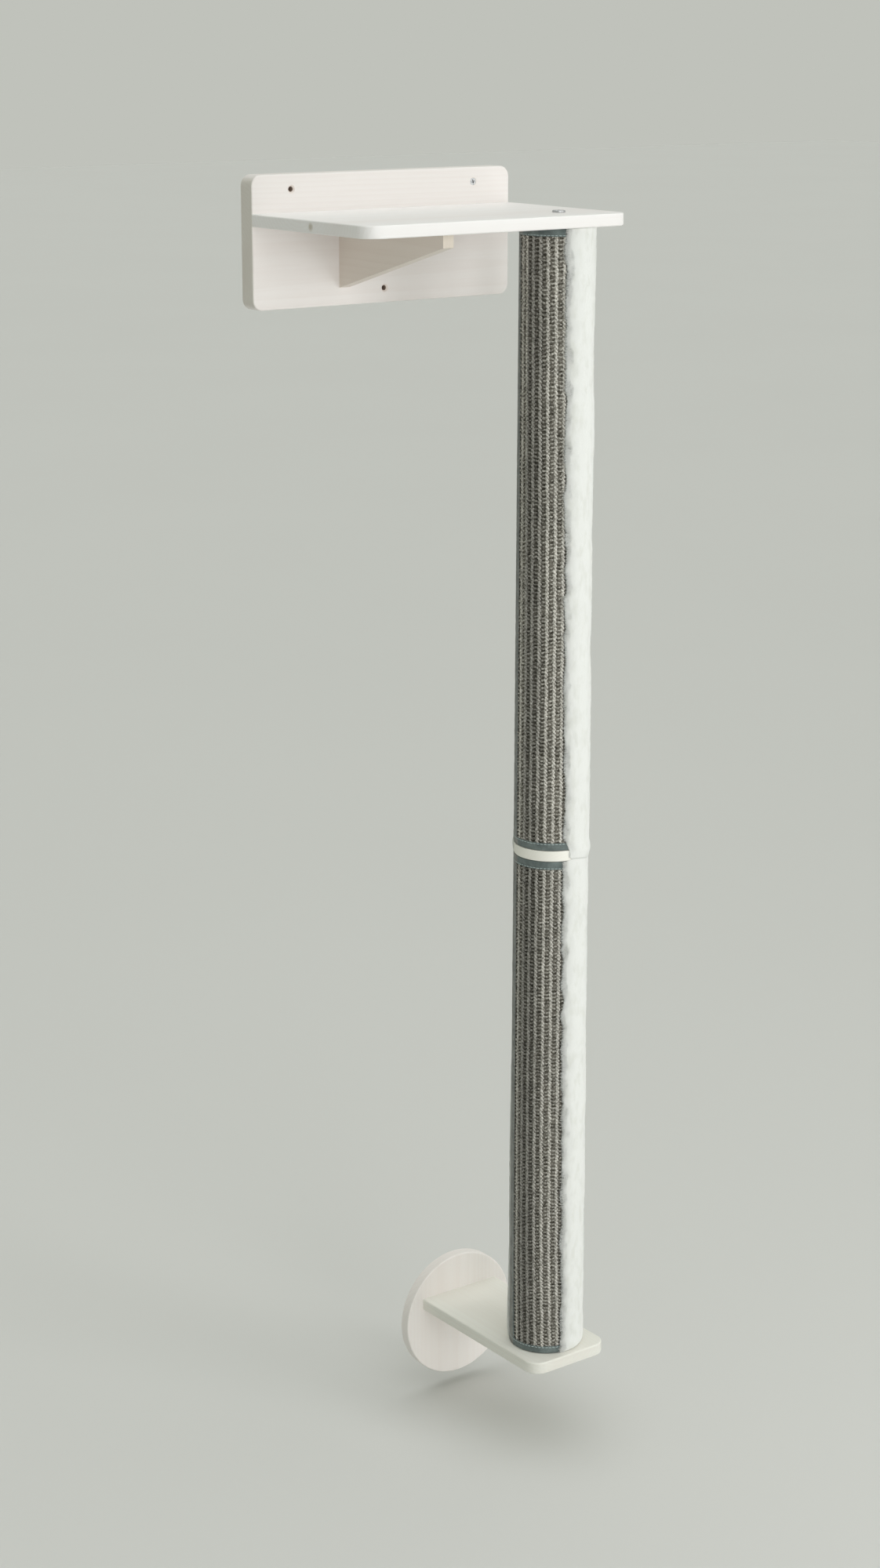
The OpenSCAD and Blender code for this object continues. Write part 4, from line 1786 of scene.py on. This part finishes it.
@dataclass
class WoodAndMetal:
    """Rigid parts that keep their CAD solids and get their finishes here."""

    nodes: dict[str, bpy.types.Object]
    axis: PostAxis

    def dress(self) -> None:
        """Puts a finish on every rigid part."""
        for name, finish in self.boards().items():
            self.paint([name], finish.material())
        ring = TurnedPine("pale spacer pine", screen(252, 250, 243), screen(250, 247, 238), (0, -0.31, -0.85))
        plug = TurnedPine("raw plug wood", screen(226, 208, 176), screen(200, 176, 138), (0, -0.20, 0))
        tube = SpiralCardboard("spiral cardboard", self.axis)
        zinc = ZincSteel("zinc plating").material()
        self.paint(["spacer_disc"], ring.material())
        self.paint(self.ending("_plug", "_dowels"), plug.material())
        self.paint(self.ending("_insert", "_stud", "_bolt", "_screws"), zinc)
        self.paint(self.ending("_post_tube"), tube.material())
        WallScrew().build(zinc)

    def ending(self, *endings: str) -> list[str]:
        """Names of the CAD nodes that end in one of these ways."""
        return [name for name in self.nodes if name.endswith(endings)]

    def boards(self) -> dict[str, GlazedPine]:
        """Finish of each glazed board, with its own grain direction, tone and marks.

        Returns:
            The finishes by the boards' names.
        """
        return {
            "wall_board": GlazedPine(
                "glazed wall board",
                Grain.ALONG_X,
                (0, 0.05, -0.03),
                screen(239, 234, 232),
                bores=tuple(Bore(x, z) for x, z in WALL_HOLES),
                end_face_shade=(0.87, 0.87, 0.83),
            ),
            "shelf": GlazedPine(
                "glazed shelf",
                Grain.ALONG_X,
                (0, -0.12, 0.09),
                screen(248, 246, 246),
                knots=(Knot((-0.205, -0.157, 0.029), 6 * MM),),
            ),
            "shelf_bracket": GlazedPine(
                "glazed bracket",
                Grain.ALONG_Y,
                (-0.11, 0, 0.02),
                screen(230, 220, 211),
                end_face_shade=(0.91, 0.91, 0.87),
            ),
            "foot_plate": GlazedPine(
                "glazed foot plate", Grain.ALONG_Y, (0.12, 0, -1.49), screen(235, 234, 227)
            ),
            "wall_disc": GlazedPine(
                "glazed wall disc", Grain.ALONG_Z, (0.13, 0.05, 0), screen(244, 239, 236)
            ),
        }

    def paint(self, names: Iterable[str], material: bpy.types.Material) -> None:
        """Puts one material on several CAD nodes.

        Args:
            names: The nodes.
            material: Their finish.
        """
        for name in names:
            node = self.nodes[name]
            for holder in node.material_slots:
                holder.material = material
            log.info("%s: %s", name, material.name)


@dataclass(frozen=True)
class PhotoCamera:
    """Camera at the photograph's place, turn and lens, with its turns in degrees."""

    place: Place = (-2.17313, -3.08398, 0.28656)
    turned_right: float = 36.516
    tipped_down: float = 15.330
    rolled: float = 0.088
    lens_mm: float = 64.86
    sensor_mm: float = 36.0

    def build(self) -> None:
        """Makes the camera and sets it as the scene's own."""
        yaw, pitch = math.radians(self.turned_right), math.radians(self.tipped_down)
        ahead = Vector((math.sin(yaw) * math.cos(pitch), math.cos(yaw) * math.cos(pitch), -math.sin(pitch)))
        right = Vector((math.cos(yaw), -math.sin(yaw), 0))
        up = right.cross(ahead)
        turn = Matrix((right, up, -ahead)).transposed().to_4x4()
        roll = Matrix.Rotation(math.radians(self.rolled), 4, "Z")
        data = bpy.data.cameras.new("photo_camera")
        data.lens = self.lens_mm
        data.sensor_width = self.sensor_mm
        data.clip_start, data.clip_end = 0.05, 100.0
        camera = link(bpy.data.objects.new("photo_camera", data))
        camera.matrix_world = Matrix.Translation(self.place) @ turn @ roll
        bpy.context.scene.camera = camera


def hang_lamp(data: bpy.types.Light, right: float, above: float) -> tuple[bpy.types.Object, Vector]:
    """Hangs a lamp that shines at the part from in front of the wall.

    Args:
        data: The lamp's own settings.
        right: Its way round to the right of straight in front, in degrees.
        above: Its way up from level, in degrees.

    Returns:
        The lamp, and the direction from the part to it.
    """
    right, above = math.radians(right), math.radians(above)
    away = Vector((math.sin(right) * math.cos(above), -math.cos(right) * math.cos(above), math.sin(above)))
    lamp = link(bpy.data.objects.new(data.name, data))
    lamp.rotation_euler = away.to_track_quat("Z", "Y").to_euler()
    return lamp, away


@dataclass(frozen=True)
class Lamp:
    """A wide distant lamp, by its way round to the right, its height and its width, in degrees."""

    name: str
    strength: float
    right: float
    above: float
    width: float

    def build(self) -> None:
        """Adds the lamp to the scene."""
        data = bpy.data.lights.new(self.name, "SUN")
        data.energy = self.strength
        data.angle = math.radians(self.width)
        hang_lamp(data, self.right, self.above)


@dataclass(frozen=True)
class Studio:
    """Pale floor and plain soft light, from above and from two sides of the front."""

    floor_height: float = -1.69
    floor_size: float = 60.0
    floor_tones: tuple[Colour, Colour] = (screen(217, 217, 215), screen(218, 218, 216))
    backdrop: Colour = screen(192, 194, 187)
    ambient: Colour = (0.110, 0.130, 0.085)
    panel_power: float = 29.0
    panel_size: tuple[float, float] = (1.0, 3.0)
    panel_right: float = 26.0
    panel_distance: float = 3.2
    panel_target: Place = (0.0, -0.1, -0.1)
    lamps: tuple[Lamp, ...] = (
        Lamp("front_light", 0.95, -12.0, 6.0, 30.0),
        Lamp("right_light", 0.20, 60.0, 15.0, 40.0),
        Lamp("top_light", 1.85, 0.0, 85.0, 90.0),
    )

    def build(self) -> None:
        """Makes the world, the floor and the lamps."""
        self.world()
        self.floor()
        self.panel()
        for lamp in self.lamps:
            lamp.build()
        bpy.context.scene.view_settings.view_transform = "Standard"

    def panel(self) -> None:
        """Adds the tall soft panel at the right front."""
        data = bpy.data.lights.new("tall_panel", "AREA")
        data.shape = "RECTANGLE"
        data.size, data.size_y = self.panel_size
        data.energy = self.panel_power
        lamp, away = hang_lamp(data, self.panel_right, 0.0)
        lamp.location = Vector(self.panel_target) + away * self.panel_distance

    def world(self) -> None:
        """Sets the light that comes from all round, and what the camera sees behind the part."""
        world = bpy.data.worlds.new("soft_room")
        bpy.context.scene.world = world
        world.use_nodes = True
        nodes, links = world.node_tree.nodes, world.node_tree.links
        around = nodes["Background"]
        around.inputs["Color"].default_value = (*self.ambient, 1.0)
        seen = nodes.new("ShaderNodeBackground")
        seen.inputs["Color"].default_value = (*self.backdrop, 1.0)
        path = nodes.new("ShaderNodeLightPath")
        either = nodes.new("ShaderNodeMath")
        either.operation = "MAXIMUM"
        links.new(path.outputs["Is Camera Ray"], either.inputs[0])
        links.new(path.outputs["Is Glossy Ray"], either.inputs[1])
        mix = nodes.new("ShaderNodeMixShader")
        for number, source in enumerate((either, around, seen)):
            links.new(source.outputs[0], mix.inputs[number])
        links.new(mix.outputs[0], nodes["World Output"].inputs["Surface"])

    def floor(self) -> None:
        """Lays the pale floor just under the part."""
        mesh = bpy.data.meshes.new("studio_floor")
        half = self.floor_size / 2
        corners = [(-half, -half), (half, -half), (half, half), (-half, half)]
        mesh.from_pydata([(x, y, self.floor_height) for x, y in corners], [], [(0, 1, 2, 3)])
        sheet = NodeSheet("studio floor")
        haze = sheet.noise(0.8, detail=2.0)
        sheet.set(
            Base_Color=sheet.ramp(haze, *zip((0.3, 0.7), self.floor_tones)),
            Roughness=0.9,
            Specular_IOR_Level=0.1,
        )
        mesh.materials.append(sheet.material)
        link(bpy.data.objects.new("studio_floor", mesh))


def fabric_finishes(axis: PostAxis) -> FabricFinishes:
    """Makes the materials of the covers.

    Args:
        axis: Line of the posts, which the patterns go round.

    Returns:
        The materials.
    """
    # The ground's darker tones are painted shade, standing for the dark holes between the ribs and loops.
    ground = Yarn("mat ground", axis, screen(150, 145, 136), screen(113, 109, 100), screen(70, 66, 59))
    rib = Yarn(
        "mat rib yarn",
        axis,
        screen(248, 245, 239),
        screen(208, 204, 196),
        screen(130, 126, 118),
        blotch=420.0,
    )
    loop = Yarn(
        "mat weft loops",
        axis,
        screen(210, 207, 199),
        screen(150, 146, 137),
        screen(80, 76, 69),
        blotch=300.0,
    )
    return FabricFinishes(
        ground=ground.material(),
        rib=rib.material(),
        loop=loop.material(),
        tape=TapeWeave("blue-grey tape", axis).material(),
        stitch=Thread("pale stitching", screen(206, 220, 220), screen(150, 166, 168)).material(),
        # The grey stitching is the pale thread toned down: painted shade on the posts' left side.
        shaded_side_stitch=Thread("grey stitching", screen(150, 160, 160), screen(110, 120, 120)).material(),
        # Both plush finishes paint shade towards the mat's edge; the hairs' painted shade is lighter.
        plush=Plush("white plush", axis).material(),
        hair=Plush("white plush hair", axis, thinnest=0.68).material(),
    )


def post_axis() -> PostAxis:
    """The line of the posts, read from the upper tube's own solid."""
    low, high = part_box("upper_post_tube")
    return PostAxis((low.x + high.x) / 2, (low.y + high.y) / 2)


def upper_post(axis: PostAxis, finishes: FabricFinishes) -> CoveredPost:
    """The cover of the upper post, whose fur hangs over the spacer disc in front.

    Args:
        axis: Line of the posts.
        finishes: Materials of the covers.

    Returns:
        The cover.
    """
    low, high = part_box("upper_post_tube")
    fur = FurShape(
        edge_high=25.5,
        edge_low=16.5,
        radius_high=47.8 * MM,
        radius_low=51.6 * MM,
        hangs_low=13.0 * MM,
        sags_low=5.5 * MM,
        opens_low=12.0,
        flare=1.8 * MM,
        end_count=350,
        end_hair=1.2 * MM,
    )
    return CoveredPost(CoverSpace("upper", axis, low.z, high.z, slip_high=-5.5), fur, finishes, seed=11)


def lower_post(axis: PostAxis, finishes: FabricFinishes) -> CoveredPost:
    """The cover of the lower post, whose fur is fullest at its foot.

    Args:
        axis: Line of the posts.
        finishes: Materials of the covers.

    Returns:
        The cover.
    """
    low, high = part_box("lower_post_tube")
    fur = FurShape(
        edge_high=17.5,
        edge_low=12.0,
        radius_high=50.8 * MM,
        radius_low=54.0 * MM,
        hangs_high=1.9 * MM,
        sags_high=5.5 * MM,
    )
    return CoveredPost(CoverSpace("lower", axis, low.z, high.z, slip_low=6.5), fur, finishes, seed=23)


def main() -> None:
    """Builds the scene round the frame and reports each piece."""
    logging.basicConfig(level=logging.INFO, format="%(message)s")
    PhotoCamera().build()
    Studio().build()
    axis = post_axis()
    WoodAndMetal(frame["nodes"], axis).dress()
    finishes = fabric_finishes(axis)
    upper_post(axis, finishes).dress()
    lower_post(axis, finishes).dress()


if __name__ == "__main__":
    main()
